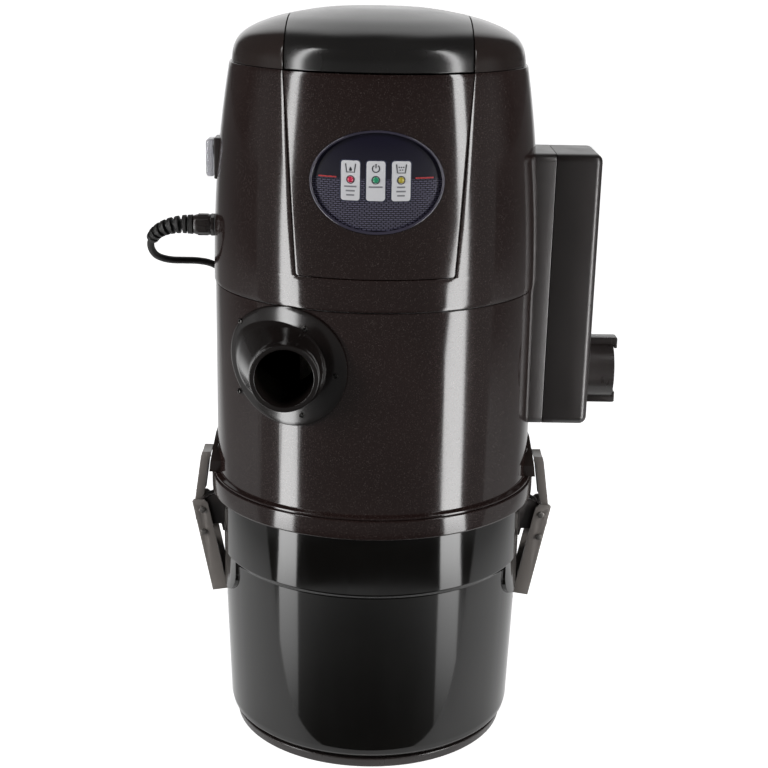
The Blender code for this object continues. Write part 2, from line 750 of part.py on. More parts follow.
# ---------------------------------------------------------------- switch, gland and cord
def make_switch():
    """The bezel with its switch body behind it, the rocker, and the clear boot over the rocker."""
    z = SWITCH_Z
    bezel = block("switch_bezel", (-0.1512, -0.0145, z - 0.0190), (-0.1440, 0.0145, z + 0.0190),
                  satin_black(), 0.0008, 1)
    cut(bezel, head_solid("switch body clearance", GAP))
    body = block("switch body", (-0.1500, -0.0110, z - 0.0160), (-0.1150, 0.0110, z + 0.0160))
    well = block("switch well", (-0.1600, -0.0085, z - 0.0135), (-0.1380, 0.0085, z + 0.0135))
    join(bezel, body)
    cut(bezel, well)
    shape = [(-0.1400, z - 0.0030), (-0.1400, z + 0.0030), (-0.1480, z + 0.0120), (-0.1548, z + 0.0108),
             (-0.1518, z), (-0.1502, z - 0.0120), (-0.1480, z - 0.0120)]
    rocker = outline("rocker", shape, -0.0080, 0.0080, "Y", satin_black())
    boot = block("switch_boot", (-0.1592, -0.0125, z - 0.0175), (-0.1450, 0.0125, z + 0.0175),
                 clear_silicone(), 0.0025, 2)
    space = block("boot space", (-0.1582, -0.0113, z - 0.0163), (-0.1400, 0.0113, z + 0.0163))
    behind = block("behind the boot", (-0.1515, -0.02, z - 0.03), (-0.1300, 0.02, z + 0.03))
    cut(boot, space, behind)
    return bezel, rocker, boot


def make_gland():
    """The hexagonal nut and threaded body that clamp the power cord, hollow for the cord."""
    y, z = GLAND_Y, GLAND_Z
    gland = rod("cord_gland", (GLAND_END_X, y, z), (-0.1563, y, z), 0.0090, satin_black(), 20, 0.0098)
    nut = rod("gland nut", (-0.1566, y, z), (-0.1529, y, z), 0.0105, sides=6)
    stub = rod("gland stub", (-0.1540, y, z), (-0.1440, y, z), 0.0058, sides=16)
    join(gland, nut, stub)
    cut(gland, rod("gland bore", (-0.18, y, z), (-0.13, y, z), 0.0040, sides=16))
    return gland


STRAIN_ROUTE = [(-0.1737, 0.0040, 0.4955), (-0.1850, 0.0042, 0.4953), (-0.1955, 0.0058, 0.4932),
                (-0.2043, 0.0088, 0.4895), (-0.2110, 0.0133, 0.4843), (-0.2155, 0.0192, 0.4779)]
STRAIN_RADII = (0.0093, 0.0088, 0.0082, 0.0075, 0.0066, 0.0056)

CORD_ROUTE = [(-0.2158, 0.0198, 0.4772), (-0.2174, 0.0240, 0.4722), (-0.2174, 0.0304, 0.4655),
              (-0.2150, 0.0380, 0.4590), (-0.2100, 0.0475, 0.4538), (-0.2015, 0.0595, 0.4495),
              (-0.1910, 0.0720, 0.4468), (-0.1795, 0.0845, 0.4440), (-0.1685, 0.0965, 0.4395),
              (-0.1585, 0.1075, 0.4315), (-0.1495, 0.1170, 0.4190), (-0.1420, 0.1250, 0.4010),
              (-0.1360, 0.1310, 0.3740), (-0.1320, 0.1345, 0.3350), (-0.1295, 0.1370, 0.2850),
              (-0.1275, 0.1390, 0.2300), (-0.1260, 0.1410, 0.1800), (-0.1240, 0.1440, 0.1320),
              (-0.1215, 0.1485, 0.0900), (-0.1170, 0.1550, 0.0530), (-0.1080, 0.1630, 0.0250),
              (-0.0940, 0.1710, 0.0095), (-0.0760, 0.1768, 0.0042), (-0.0550, 0.1795, 0.0038),
              (-0.0310, 0.1800, 0.0038), (-0.0085, 0.1800, 0.0038)]


def smooth_route(route, spacing):
    """Evenly spaced points along a smooth curve through the route, after a short straight start."""
    points = [Vector(p) for p in route]
    padded = [2 * points[0] - points[1]] + points + [2 * points[-1] - points[-2]]
    dense = []
    for a, b, c, d in zip(padded, padded[1:], padded[2:], padded[3:]):
        for i in range(16):
            t = i / 16
            dense.append(0.5 * (2 * b + (c - a) * t + (2 * a - 5 * b + 4 * c - d) * t * t
                                + (3 * b - a - 3 * c + d) * t ** 3))
    dense = dense[16:] + [points[-1]]
    length = sum((q - p).length for p, q in zip(dense, dense[1:]))
    count = round(length / spacing)
    step = length / count
    found, walked, due = [points[0], dense[0]], 0.0, step
    for p, q in zip(dense, dense[1:]):
        piece = (q - p).length
        while walked + piece >= due - 1e-9 and len(found) <= count:
            found.append(p.lerp(q, (due - walked) / piece))
            due += step
        walked += piece
    found.append(dense[-1])
    return found


def tube(name, route, radii, material, resolution=2):
    """A round tube along a route, with its ends capped."""
    curve = bpy.data.curves.new(name, "CURVE")
    curve.dimensions = "3D"
    curve.bevel_depth = 1.0
    curve.bevel_resolution = resolution
    curve.use_fill_caps = True
    spline = curve.splines.new("POLY")
    spline.points.add(len(route) - 1)
    for point, place_, radius in zip(spline.points, route, radii):
        point.co = (*place_, 1)
        point.radius = radius
    obj = bpy.data.objects.new(name, curve)
    return place(obj, material)


def make_cord():
    tube("strain_relief", [Vector(p) for p in STRAIN_ROUTE], STRAIN_RADII, black_rubber(), 4)
    route = smooth_route(CORD_ROUTE, 0.0175)
    tube("cord", route, [CORD_RADIUS] * len(route), black_rubber(), 2)
    half_width, half_height = COIL_SECTION
    base = 0.0003
    low, high = base, base + 2 * half_height
    turned("cord_coil", [(COIL_RADIUS + half_width, high), (COIL_RADIUS + half_width, low),
                         (COIL_RADIUS - half_width, low), (COIL_RADIUS - half_width, high)],
           black_rubber(), steps=32, centre=COIL_CENTRE)


def make_plug():
    """A moulded plug with two flat blades and an earth pin, lying behind the coil with its lead to +X."""
    lead_x = COIL_CENTRE[0] - 0.0275
    y = COIL_CENTRE[1] + COIL_RADIUS + CORD_RADIUS
    z = 0.0122
    rear, front = lead_x - 0.0230, lead_x - 0.0570
    plug = block("plug", (front, y - 0.0125, 0.0003), (rear, y + 0.0125, 0.0241), black_rubber(), 0.0050, 1)
    relief = rod("plug relief", (lead_x, y, z - 0.0010), (rear - 0.006, y, z), 0.0045, sides=12,
                 end_radius=0.0080)
    join(plug, relief)
    for offset in (-0.0064, 0.0064):
        blade = block(f"blade {offset}", (front - 0.0180, y + offset - 0.0008, z - 0.0045),
                      (front + 0.003, y + offset + 0.0008, z + 0.0020))
        join(plug, blade)
    pin_z = z + 0.0065
    join(plug, rod("earth pin", (front + 0.003, y, pin_z), (front - 0.0210, y, pin_z), 0.0024, sides=10))
    return plug


# ---------------------------------------------------------------- wall bracket
def make_wall_bracket():
    """The plate that screws to the wall, with two ribs that reach the housing."""
    low, high = BRACKET_Y
    corners = rounded_rectangle((-BRACKET_HALF, BRACKET_Z[0]), (BRACKET_HALF, BRACKET_Z[1]), 0.012)
    plate = outline("wall_bracket", corners, low, high, "Y", satin_black())
    for side in (-1, 1):
        rib_x = side * 0.045
        join(plate, block(f"bracket rib {side}", (rib_x - 0.004, 0.1300, BRACKET_Z[0] + 0.010),
                          (rib_x + 0.004, low + 0.0010, BRACKET_Z[1] - 0.010)))
    cut(plate, head_solid("bracket body clearance", GAP))
    for side in (-1, 1):
        x = side * WALL_SCREW_X
        for z in WALL_SCREW_Z:
            cut(plate, rod(f"wall screw hole {side} {z}", (x, low - 0.01, z), (x, high + 0.01, z),
                           WALL_SCREW_RADIUS, sides=12))
    return plate


# ---------------------------------------------------------------- bucket
def bucket_radius(z):
    share = (z - 0.022) / (BAND_BOTTOM - 0.022)
    return BUCKET_LOW_RADIUS + (BUCKET_TOP_RADIUS - BUCKET_LOW_RADIUS) * share


def latch_lobe(side):
    """The rounded tongue that thickens the bucket below the band behind a latch."""
    low, high = LOBE_Z[0] - 0.005, LOBE_Z[1]
    section = [(LOBE_RADIUS, high), (LOBE_RADIUS, low), (0.1438, low), (0.1440, BAND_BOTTOM - 0.0020),
               (0.1466, high)]
    ring = turned(f"lobe ring {side}", section)
    shape = rounded_rectangle((-LOBE_HALF, LOBE_Z[0]), (LOBE_HALF, high + 0.03), LOBE_CORNER)
    near, far = sorted((side * 0.08, side * 0.17))
    return keep_within(ring, outline(f"lobe shape {side}", shape, near, far, "X"))


def make_bucket():
    """The collection bucket, with a rolled rim, a wider band below it and a flat pocket behind each latch."""
    rim_top = COLLAR_TOP - 0.0026
    inner_rim = RIM_RADIUS - 0.0050
    base = CUP_TOP + GAP
    corner = [(BUCKET_LOW_RADIUS - 0.0012, 0.0165), (BUCKET_LOW_RADIUS - 0.0050, 0.0122),
              (BUCKET_LOW_RADIUS - 0.0110, base)]
    outer = [(RIM_RADIUS, rim_top), (RIM_RADIUS, rim_top - 0.0060), (BAND_TOP_RADIUS, rim_top - 0.0085),
             (BAND_TOP_RADIUS, COLLAR_BOTTOM), (BAND_LOW_RADIUS, BAND_BOTTOM + 0.0020),
             (BUCKET_TOP_RADIUS, BAND_BOTTOM - 0.0010), (BUCKET_LOW_RADIUS, 0.022)]
    inner = [(0, base + WALL), (BUCKET_LOW_RADIUS - 0.0130, base + WALL), (BUCKET_LOW_RADIUS - 0.0040, 0.022),
             (BUCKET_TOP_RADIUS - WALL, BAND_BOTTOM - 0.0010), (BAND_LOW_RADIUS - WALL, BAND_BOTTOM + 0.0030),
             (inner_rim, rim_top - 0.0090), (inner_rim, rim_top)]
    bucket = turned("bucket", inner + outer + corner + [(0, base)], bucket_black(), closed=False)
    for side in (-1, 1):
        join(bucket, latch_lobe(side))
        for step, (half, low, high) in enumerate(LAND_BACKING):
            inside = 0.1385 - 0.0002 * step
            outside = POCKET_FLOOR + 0.0010 + 0.0002 * step
            near, far = sorted((side * inside, side * outside))
            join(bucket, block(f"land backing {side} {step}", (near, -half, low), (far, half, high)))
        near, far = sorted((side * POCKET_FLOOR, side * 0.17))
        cut(bucket, block(f"latch pocket {side}", (near, -POCKET_HALF, POCKET_Z[0]),
                          (far, POCKET_HALF, POCKET_Z[1])))
    return bucket


def make_base_cup():
    profile = [(CUP_RADIUS - 0.0004, CUP_TOP), (CUP_RADIUS, CUP_TOP - 0.0010), (CUP_RADIUS - 0.0016, 0.0012),
               (CUP_RADIUS - 0.0030, 0.0), (0, 0)]
    inner = [(0, 0.0030), (0.1160, 0.0030), (0.1180, CUP_TOP)]
    return turned("base_cup", inner + profile, satin_black(), closed=False)


# ---------------------------------------------------------------- latches
def flipped(points, side):
    return [(side * s, z) for s, z in points]


def wall_pair(name, points, side, walls, material):
    """Two equal plates either side of the latch's middle plane."""
    inner, outer = walls
    near = outline(name, flipped(points, side), -outer, -inner, "Y", material)
    far = outline(name + " far wall", flipped(points, side), inner, outer, "Y")
    return near, far


def pin_hole(side, spot):
    """A cutter right across the latch, half a millimetre larger than its pin."""
    x, z = side * spot[0], spot[1]
    return rod("pin hole", (x, -0.02, z), (x, 0.02, z), PIN_RADIUS + 0.0005, sides=10)


def make_catch(name, side):
    """A hood with a peaked roof on the lower housing, and the ledge inside it that the link hooks over."""
    low = COLLAR_TOP + 0.0043
    roof = [(-0.0410, low), (0.0410, low), (0.0410, 0.2740), (0.0100, 0.2937), (-0.0100, 0.2937),
            (-0.0410, 0.2740)]
    hollow = [(-0.0385, low - 0.01), (0.0385, low - 0.01), (0.0385, 0.2726), (0.0090, 0.2912),
              (-0.0090, 0.2912), (-0.0385, 0.2726)]
    near, far = sorted((side * 0.1440, side * 0.1600))
    hood = outline(name, roof, near, far, "X", gloss_brown_black())
    near, far = sorted((side * 0.1400, side * 0.1700))
    cut(hood, outline(name + " hollow", hollow, near, far, "X"))
    slope = [(0.1400, low - 0.01), (0.1574, low - 0.01), (0.1574, 0.2600), (0.1546, 0.2831),
             (0.1528, 0.2960), (0.1400, 0.2960)]
    keep_within(hood, outline(name + " slope", flipped(slope, side), -0.06, 0.06, "Y"))
    ledge = [(0.1430, 0.2650), (0.1556, 0.2656), (0.1556, 0.2700), (0.1430, 0.2700)]
    join(hood, outline(name + " ledge", flipped(ledge, side), -0.0392, 0.0392, "Y"))
    cut(hood, head_solid(name + " body clearance", GAP))
    return hood


def make_bracket(name, side):
    ear = [(0.1440, 0.2270), (0.1560, 0.2285), (0.1655, 0.2235), (0.1708, 0.2180), (0.1708, 0.2118),
           (0.1660, 0.2090), (0.1620, 0.1975), (0.1490, 0.1975), (0.1475, 0.1900), (0.1440, 0.1900)]
    near, far = wall_pair(name, ear, side, EAR_WALLS, satin_black())
    low, high = sorted((side * (POCKET_FLOOR + GAP), side * (POCKET_FLOOR + 0.0026)))
    join(near, far, block(name + " foot", (low, -0.0180, 0.1880), (high, 0.0180, 0.2290)))
    cut(near, pin_hole(side, PIVOT))
    return near


def make_lever(name, side):
    """The long handle: two side walls, a back wall below the link's pin and a foot."""
    wall = [(0.1768, 0.2235), (0.1752, 0.2256), (0.1650, 0.2250), (0.1618, 0.2225), (0.1600, 0.2150),
            (0.1432, 0.1335), (0.1434, 0.1318), (0.1576, 0.1296)]
    near, far = wall_pair(name, wall, side, LEVER_WALLS, latch_grey())
    back = [(0.1671, 0.1775), (0.1574, 0.1302), (0.1554, 0.1304), (0.1650, 0.1775)]
    foot = [(0.1573, 0.1299), (0.1570, 0.1330), (0.1441, 0.1350), (0.1438, 0.1321)]
    join(near, far, outline(name + " back", flipped(back, side), -0.0160, 0.0160, "Y"),
         outline(name + " foot", flipped(foot, side), -0.0160, 0.0160, "Y"))
    cut(near, pin_hole(side, PIVOT), pin_hole(side, LINK_PIN))
    return near


def make_link(name, side):
    """The hooked strap: an outer web with side flanges that pass outside the pivot pin."""
    flange = [(0.1582, 0.2735), (0.1668, 0.2735), (0.1682, 0.2680), (0.1712, 0.2471), (0.1744, 0.2243),
              (0.1752, 0.2150), (0.1740, 0.2040)]
    flange += arc(LINK_PIN, 0.0048, 20, -160, 6)
    flange += [(0.1622, 0.1960), (0.1665, 0.2010), (0.1708, 0.2080), (0.1708, 0.2200), (0.1655, 0.2300),
               (0.1606, 0.2670), (0.1582, 0.2690)]
    near, far = wall_pair(name, flange, side, FLANGE_WALLS, latch_grey())
    web = [(0.1584, 0.2733), (0.1666, 0.2733), (0.1680, 0.2679), (0.1741, 0.2250), (0.1719, 0.2250),
           (0.1660, 0.2676), (0.1650, 0.2711), (0.1584, 0.2711)]
    join(near, far, outline(name + " web", flipped(web, side), -0.0120, 0.0120, "Y"))
    cut(near, pin_hole(side, LINK_PIN))
    return near


def make_pin(name, side, spot):
    """A headed steel pin across the latch."""
    x, z = side * spot[0], spot[1]
    pin = rod(name, (x, -0.0178, z), (x, 0.0178, z), PIN_RADIUS, bright_steel(), 10)
    for end in (-1, 1):
        join(pin, rod(f"{name} head {end}", (x, end * 0.0174, z), (x, end * 0.0186, z), PIN_RADIUS + 0.0012,
                      sides=10))
    return pin


def make_latches():
    for word, side in (("left", -1), ("right", 1)):
        make_catch(f"latch_catch_{word}", side)
        make_bracket(f"latch_bracket_{word}", side)
        make_lever(f"latch_lever_{word}", side)
        make_link(f"latch_link_{word}", side)
        make_pin(f"latch_pivot_pin_{word}", side, PIVOT)
        make_pin(f"latch_link_pin_{word}", side, LINK_PIN)


# ---------------------------------------------------------------- the whole vacuum
make_upper_housing()
make_front_panel()
make_display()
make_cap_pieces()
make_lower_housing()
make_collar()
make_gasket()
make_inlet_port()
make_motor_deck()
make_motor_seal()
make_fan_housing()
make_rotor()
make_stator()
make_end_brackets()
make_motor_cover()
make_filter_cage()
make_filter_cartridge()
make_filter_nut()
make_float_ball()
make_exhaust_box()
make_blower_port()
make_switch()
make_gland()
make_cord()
make_plug()
make_wall_bracket()
make_bucket()
make_base_cup()
make_latches()
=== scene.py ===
"""Looks of a wall-mounted wet and dry garage vacuum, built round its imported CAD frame. Metres, -Y front."""
import json
import math

import bmesh
import bpy
from mathutils import Matrix, Vector


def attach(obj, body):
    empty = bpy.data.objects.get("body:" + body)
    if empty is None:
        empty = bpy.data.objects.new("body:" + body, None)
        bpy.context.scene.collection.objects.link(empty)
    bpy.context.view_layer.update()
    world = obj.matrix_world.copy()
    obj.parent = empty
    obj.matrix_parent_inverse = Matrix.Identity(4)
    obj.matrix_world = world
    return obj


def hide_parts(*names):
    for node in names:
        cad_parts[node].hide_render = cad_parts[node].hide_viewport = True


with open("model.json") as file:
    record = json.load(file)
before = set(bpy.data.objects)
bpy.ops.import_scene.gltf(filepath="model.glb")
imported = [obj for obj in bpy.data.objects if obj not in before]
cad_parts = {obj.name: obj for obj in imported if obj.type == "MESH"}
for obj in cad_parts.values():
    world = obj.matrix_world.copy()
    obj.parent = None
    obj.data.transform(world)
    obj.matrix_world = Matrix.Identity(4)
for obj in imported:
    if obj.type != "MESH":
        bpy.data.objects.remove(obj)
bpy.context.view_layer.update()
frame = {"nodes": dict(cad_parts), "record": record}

# ---------------------------------------------------------------- dimensions shared with the CAD
GAP = 0.0003
WALL = 0.003
TOP_HEIGHT = 0.7005
CAP_SEAM = 0.6505
MID_SEAM = 0.4484
COLLAR_TOP = 0.2589
COLLAR_BOTTOM = 0.2405
BAND_BOTTOM = 0.1810
CUP_TOP = 0.0098
CAP_RADIUS = 0.1350
SHOULDER_RADIUS = 0.1368
WAIST_RADIUS = 0.1527
LOWER_RADIUS = 0.1515
FLANGE_RADIUS = 0.1560
COLLAR_RADIUS = 0.1575
RIM_RADIUS = 0.1536
BAND_TOP_RADIUS = 0.1500
BAND_LOW_RADIUS = 0.1486
BUCKET_TOP_RADIUS = 0.1462
BUCKET_LOW_RADIUS = 0.1402
CUP_RADIUS = 0.1352
POCKET_FLOOR = 0.1425
POCKET_HALF = 0.0600
POCKET_Z = (0.1270, 0.2310)
LOBE_RADIUS = 0.1482
LOBE_HALF = 0.0720
LOBE_Z = (0.1470, 0.1836)
LOBE_CORNER = 0.0240
LAND_BACKING = ((0.0215, 0.1300, 0.1560), (0.0380, 0.1500, 0.2050), (0.0435, 0.2000, 0.2332))
STRIP_HALF = 0.0815
PANEL_LOW_HALF = 0.0690
PANEL_BOTTOM = 0.4778
PANEL_TOP = CAP_SEAM - 0.0008
PANEL_CORNER = 0.0018
WINDOW_Z = 0.5605
WINDOW_HALF = (0.0580, 0.0440)
LENS_X = (-0.0225, -0.0010, 0.0205)
PLATE_FALL = 0.0034
INLET = (-0.077, 0.395)
INLET_MOUTH_Y = -0.1750
INLET_BORE = 0.0255
INLET_TUBE = 0.0302
CONE_RADIUS = 0.0475
SADDLE_RADIUS = 0.0540
SADDLE_RISE = 0.0035
BOX_Y = (-0.0080, 0.0720)
BOX_Z = (0.3055, 0.5690)
BOX_SPLIT_X = 0.1672
BOX_OUT_X = 0.2110
BOX_LEAN = 0.0026            # how far the foot of the box leans back towards the body
BOX_CORNER = 0.0080
BLOWER = (0.0320, 0.3530)
BLOWER_END_X = 0.2350
BLOWER_RADIUS = 0.0275
BLOWER_BORE = 0.0240
SWITCH_Z = 0.5605
GLAND = (0.0040, 0.4955)
GLAND_END_X = -0.1734
CORD_RADIUS = 0.0035
COIL_CENTRE = (0.0200, 0.2220)
COIL_RADIUS = 0.0385
STRAND_STEP = 0.0036
LEAD_Z = 0.0038               # middle of the lead where it lies on the floor
LAYER_STEP = 0.0071

STEPS = 192                  # columns round a large turned shell


# ---------------------------------------------------------------- mesh helpers
def link_object(name, data):
    obj = bpy.data.objects.new(name, data)
    bpy.context.scene.collection.objects.link(obj)
    return obj


def clean(mesh, merge):
    """Welds points that coincide and turns the faces the same way."""
    work = bmesh.new()
    work.from_mesh(mesh)
    if merge:
        bmesh.ops.remove_doubles(work, verts=work.verts, dist=merge)
    bmesh.ops.recalc_face_normals(work, faces=work.faces)
    work.to_mesh(mesh)
    work.free()


def mesh_object(name, points, faces, merge=0.0):
    mesh = bpy.data.meshes.new(name)
    mesh.from_pydata([tuple(p) for p in points], [], faces)
    clean(mesh, merge)
    return link_object(name, mesh)


def surface(name, rows, round_rows=False, round_columns=False, caps=False, merge=0.000001):
    """Quads through rows of points, closed either way, with flat ends if asked."""
    count = len(rows[0])
    faces = []
    for i in range(len(rows) - (0 if round_rows else 1)):
        for j in range(count - (0 if round_columns else 1)):
            k, n = (i + 1) % len(rows), (j + 1) % count
            faces.append((i * count + j, i * count + n, k * count + n, k * count + j))
    if caps:
        faces.append(tuple(range(count)))
        faces.append(tuple(range((len(rows) - 1) * count, len(rows) * count)))
    return mesh_object(name, [p for row in rows for p in row], faces, merge)


def circle(count):
    """Cosine and sine of evenly spaced angles."""
    return [(math.cos(math.tau * k / count), math.sin(math.tau * k / count)) for k in range(count)]


def arc(centre, radius, start, end, count):
    found = []
    for i in range(count + 1):
        angle = math.radians(start + (end - start) * i / count)
        found.append((centre[0] + radius * math.cos(angle), centre[1] + radius * math.sin(angle)))
    return found


def soften(points, radius, steps=3, closed=True):
    """The outline with each corner turned into a short curve."""
    found = []
    count = len(points)
    for i, point in enumerate(points):
        if not closed and i in (0, count - 1):
            found.append(tuple(point))
            continue
        here, before, after = Vector(point), Vector(points[i - 1]), Vector(points[(i + 1) % count])
        back, ahead = before - here, after - here
        reach = min(radius, 0.45 * back.length, 0.45 * ahead.length)
        start, end = here + back.normalized() * reach, here + ahead.normalized() * reach
        for k in range(steps + 1):
            t = k / steps
            found.append(tuple((1 - t) ** 2 * start + 2 * t * (1 - t) * here + t * t * end))
    return found


def ellipse(centre, half_width, half_height, count=96):
    return [(centre[0] + half_width * c, centre[1] + half_height * s) for c, s in circle(count)]


def rounded_rectangle(low, high, radius, steps=6):
    (u0, v0), (u1, v1) = low, high
    corners = (((u1 - radius, v1 - radius), 0), ((u0 + radius, v1 - radius), 90),
               ((u0 + radius, v0 + radius), 180), ((u1 - radius, v0 + radius), 270))
    return [p for centre, start in corners for p in arc(centre, radius, start, start + 90, steps)]


def along_axis(axis, u, v, w):
    """A point from two distances across an axis and one along it."""
    return {"X": (w, u, v), "Y": (u, w, v), "Z": (u, v, w)}[axis]


def turned(name, profile, closed=True, steps=STEPS, axis="Z", centre=(0, 0)):
    """A profile of (radius, distance along the axis) turned round an axis through centre."""
    rows = [[along_axis(axis, centre[0] + r * c, centre[1] + r * s, w) for r, w in profile]
            for c, s in circle(steps)]
    return surface(name, rows, round_rows=True, round_columns=closed)


def prism(name, points, low, high, axis, rounding=0.0, segments=3):
    """A flat outline given thickness along an axis, with its long edges rounded."""
    levels = [(low, 0.0), (high, 0.0)]
    if rounding:
        levels = [(low + rounding * (1 - math.sin(a)), rounding * (1 - math.cos(a)))
                  for a in [math.pi / 2 * k / segments for k in range(segments, -1, -1)]]
        levels += [(high - (w - low), inset) for w, inset in reversed(levels)]
    rows = [[along_axis(axis, *p, w) for p in inset_outline(points, inset)] for w, inset in levels]
    return surface(name, rows, round_columns=True, caps=True)


def inset_outline(points, inset):
    """The outline moved inwards along its own normals."""
    if not inset:
        return points
    side = 1 if sum(a[0] * b[1] - b[0] * a[1] for a, b in zip(points, points[1:] + points[:1])) > 0 else -1
    found = []
    for i, point in enumerate(points):
        before = (Vector(point) - Vector(points[i - 1])).normalized()
        after = (Vector(points[(i + 1) % len(points)]) - Vector(point)).normalized()
        normal = Vector((-(before.y + after.y), before.x + after.x)) * side
        found.append(tuple(Vector(point) + normal.normalized() * inset))
    return found


def boolean(obj, other, operation="DIFFERENCE"):
    """Applies a Boolean at once and removes the helper."""
    made = obj.modifiers.new("boolean", "BOOLEAN")
    made.operation = operation
    made.solver = "EXACT"
    made.object = other
    bake_modifiers(obj)
    bpy.data.objects.remove(other)
    return obj


def bake_modifiers(obj):
    bpy.context.view_layer.update()
    graph = bpy.context.evaluated_depsgraph_get()
    mesh = bpy.data.meshes.new_from_object(obj.evaluated_get(graph))
    obj.modifiers.clear()
    obj.data = mesh
    return obj


def thicken(obj, depth, rounding, segments=3, angle=50, outward=0.0):
    """Gives an open sheet a wall and rounds the edges of the wall."""
    wall = obj.modifiers.new("wall", "SOLIDIFY")
    wall.thickness = depth
    wall.offset = -1 + 2 * outward
    wall.use_even_offset = True
    round_edges(obj, rounding, segments, angle)
    return bake_modifiers(obj)


def round_edges(obj, width, segments=3, angle=50):
    made = obj.modifiers.new("rounded edges", "BEVEL")
    made.width = width
    made.segments = segments
    made.limit_method = "ANGLE"
    made.angle_limit = math.radians(angle)


def shade(obj, angle):
    obj.data.shade_smooth()
    obj.data.set_sharp_from_angle(angle=math.radians(angle))


def merge_objects(name, pieces):
    """Joins loose solids that belong to one moulding into one object."""
    work = bmesh.new()
    for piece in pieces:
        work.from_mesh(piece.data)
    mesh = bpy.data.meshes.new(name)
    work.to_mesh(mesh)
    work.free()
    for piece in pieces:
        bpy.data.objects.remove(piece)
    return link_object(name, mesh)


# ---------------------------------------------------------------- node materials
class Nodes:
    """Short names for the nodes that the materials and the world are made of."""

    def __init__(self, owner, shader="Principled BSDF", coordinates="Object"):
        owner.use_nodes = True
        self.owner = owner
        self.tree = owner.node_tree
        self.shader = self.tree.nodes[shader]
        self.place = self.tree.nodes.new("ShaderNodeTexCoord").outputs[coordinates]

    def fill(self, socket, value):
        """Gives a socket a number, a colour or another node's output."""
        if isinstance(value, (int, float)):
            socket.default_value = value
        elif isinstance(value, tuple):
            socket.default_value = (*value, 1.0)
        else:
            self.tree.links.new(value, socket)

    def set(self, **values):
        """Fills the shader's own sockets; an underscore stands for a space in a name."""
        for key, value in values.items():
            self.fill(self.shader.inputs[key.replace("_", " ")], value)

    def add(self, kind, source=None, **settings):
        """A node with its sockets and settings given, fed by source."""
        node = self.tree.nodes.new(kind)
        for key, value in settings.items():
            socket = key.replace("_", " ")
            if socket in node.inputs:
                node.inputs[socket].default_value = value
            else:
                setattr(node, key, value)
        if source:
            self.tree.links.new(source, node.inputs[0])
        return node

    def math(self, operation, *values):
        node = self.add("ShaderNodeMath", operation=operation)
        for socket, value in zip(node.inputs, values):
            self.fill(socket, value)
        return node.outputs[0]

    def parts(self):
        """The place's three coordinates."""
        return self.add("ShaderNodeSeparateXYZ", self.place).outputs

    def noise(self, scale, detail=4.0, rough=0.55, stretch=None):
        place = self.place
        if stretch:
            mapping = self.add("ShaderNodeMapping", place)
            mapping.inputs["Scale"].default_value = stretch
            place = mapping.outputs["Vector"]
        node = self.add("ShaderNodeTexNoise", place, Scale=scale, Detail=detail, Roughness=rough)
        return node.outputs["Fac"]

    def cells(self, scale):
        return self.add("ShaderNodeTexVoronoi", self.place, Scale=scale)

    def ramp(self, value, low, high, start, end, smooth=False):
        node = self.add("ShaderNodeMapRange", value, From_Min=low, From_Max=high, To_Min=start, To_Max=end)
        if smooth:
            node.interpolation_type = "SMOOTHSTEP"
        return node.outputs["Result"]

    def levels(self, value, rows):
        """Grey levels at given values, straight in between."""
        low, high = rows[0][0], rows[-1][0]
        node = self.add("ShaderNodeValToRGB", self.ramp(value, low, high, 0.0, 1.0))
        elements = node.color_ramp.elements
        while len(elements) < len(rows):
            elements.new(0.5)
        for element, (place, level) in zip(elements, rows):
            element.position = (place - low) / (high - low)
            element.color = (level, level, level, 1.0)
        return node.outputs[0]

    def blend(self, share, first, second):
        node = self.add("ShaderNodeMix", share, data_type="RGBA")
        self.fill(node.inputs[6], first)
        self.fill(node.inputs[7], second)
        return node.outputs[2]

    def cloudy(self, scale, first, second, low=0.35, high=0.7, share=1.0):
        """Two colours mixed by soft noise."""
        return self.blend(self.ramp(self.noise(scale, 5.0), low, high, 0.0, share), first, second)

    def uneven_gloss(self, marks, low, high):
        self.set(Roughness=self.ramp(marks, 0.3, 0.7, low, high))

    def bump(self, height, strength, distance):
        node = self.add("ShaderNodeBump", Strength=strength, Distance=distance)
        self.tree.links.new(height, node.inputs["Height"])
        self.set(Normal=node.outputs["Normal"])

    def base(self):
        """What the base colour is fed by."""
        return self.shader.inputs["Base Color"].links[0].from_socket

    def lit(self, strength, colour=(1.0, 1.0, 1.0)):
        self.set(Emission_Color=colour, Emission_Strength=strength)


def new_material(name):
    return Nodes(bpy.data.materials.new(name))


def plastic(name, colour, rough, spread=0.06, tint=0.35, grain=900.0, depth=0.00002, strength=0.25,
            coat=0.0, specular=0.5):
    """Moulded plastic: a faint clouding of the colour, uneven gloss and a fine grain."""
    n = new_material(name)
    lighter = tuple(min(1.0, c * (1 + tint) + 0.001) for c in colour)
    n.set(Base_Color=n.cloudy(14.0, colour, lighter), Coat_Weight=coat, Coat_Roughness=0.06,
          Specular_IOR_Level=specular)
    n.uneven_gloss(n.noise(1.0, 4.0, 0.6, (38.0, 38.0, 9.0)), rough - spread, rough + spread)
    n.bump(n.noise(grain, 2.0), strength, depth)
    return n


def metal(name, colour, rough, scale, stretch, strength=0.2):
    """Worked metal: fine marks one way, uneven polish and a little tarnish."""
    n = new_material(name)
    darker = tuple(c * 0.62 for c in colour)
    n.set(Base_Color=n.cloudy(40.0, colour, darker, 0.42, 0.72, 0.7), Metallic=1.0)
    marks = n.noise(scale, 3.0, 0.6, stretch)
    n.uneven_gloss(marks, rough - 0.08, rough + 0.10)
    n.bump(marks, strength, 0.00004)
    return n


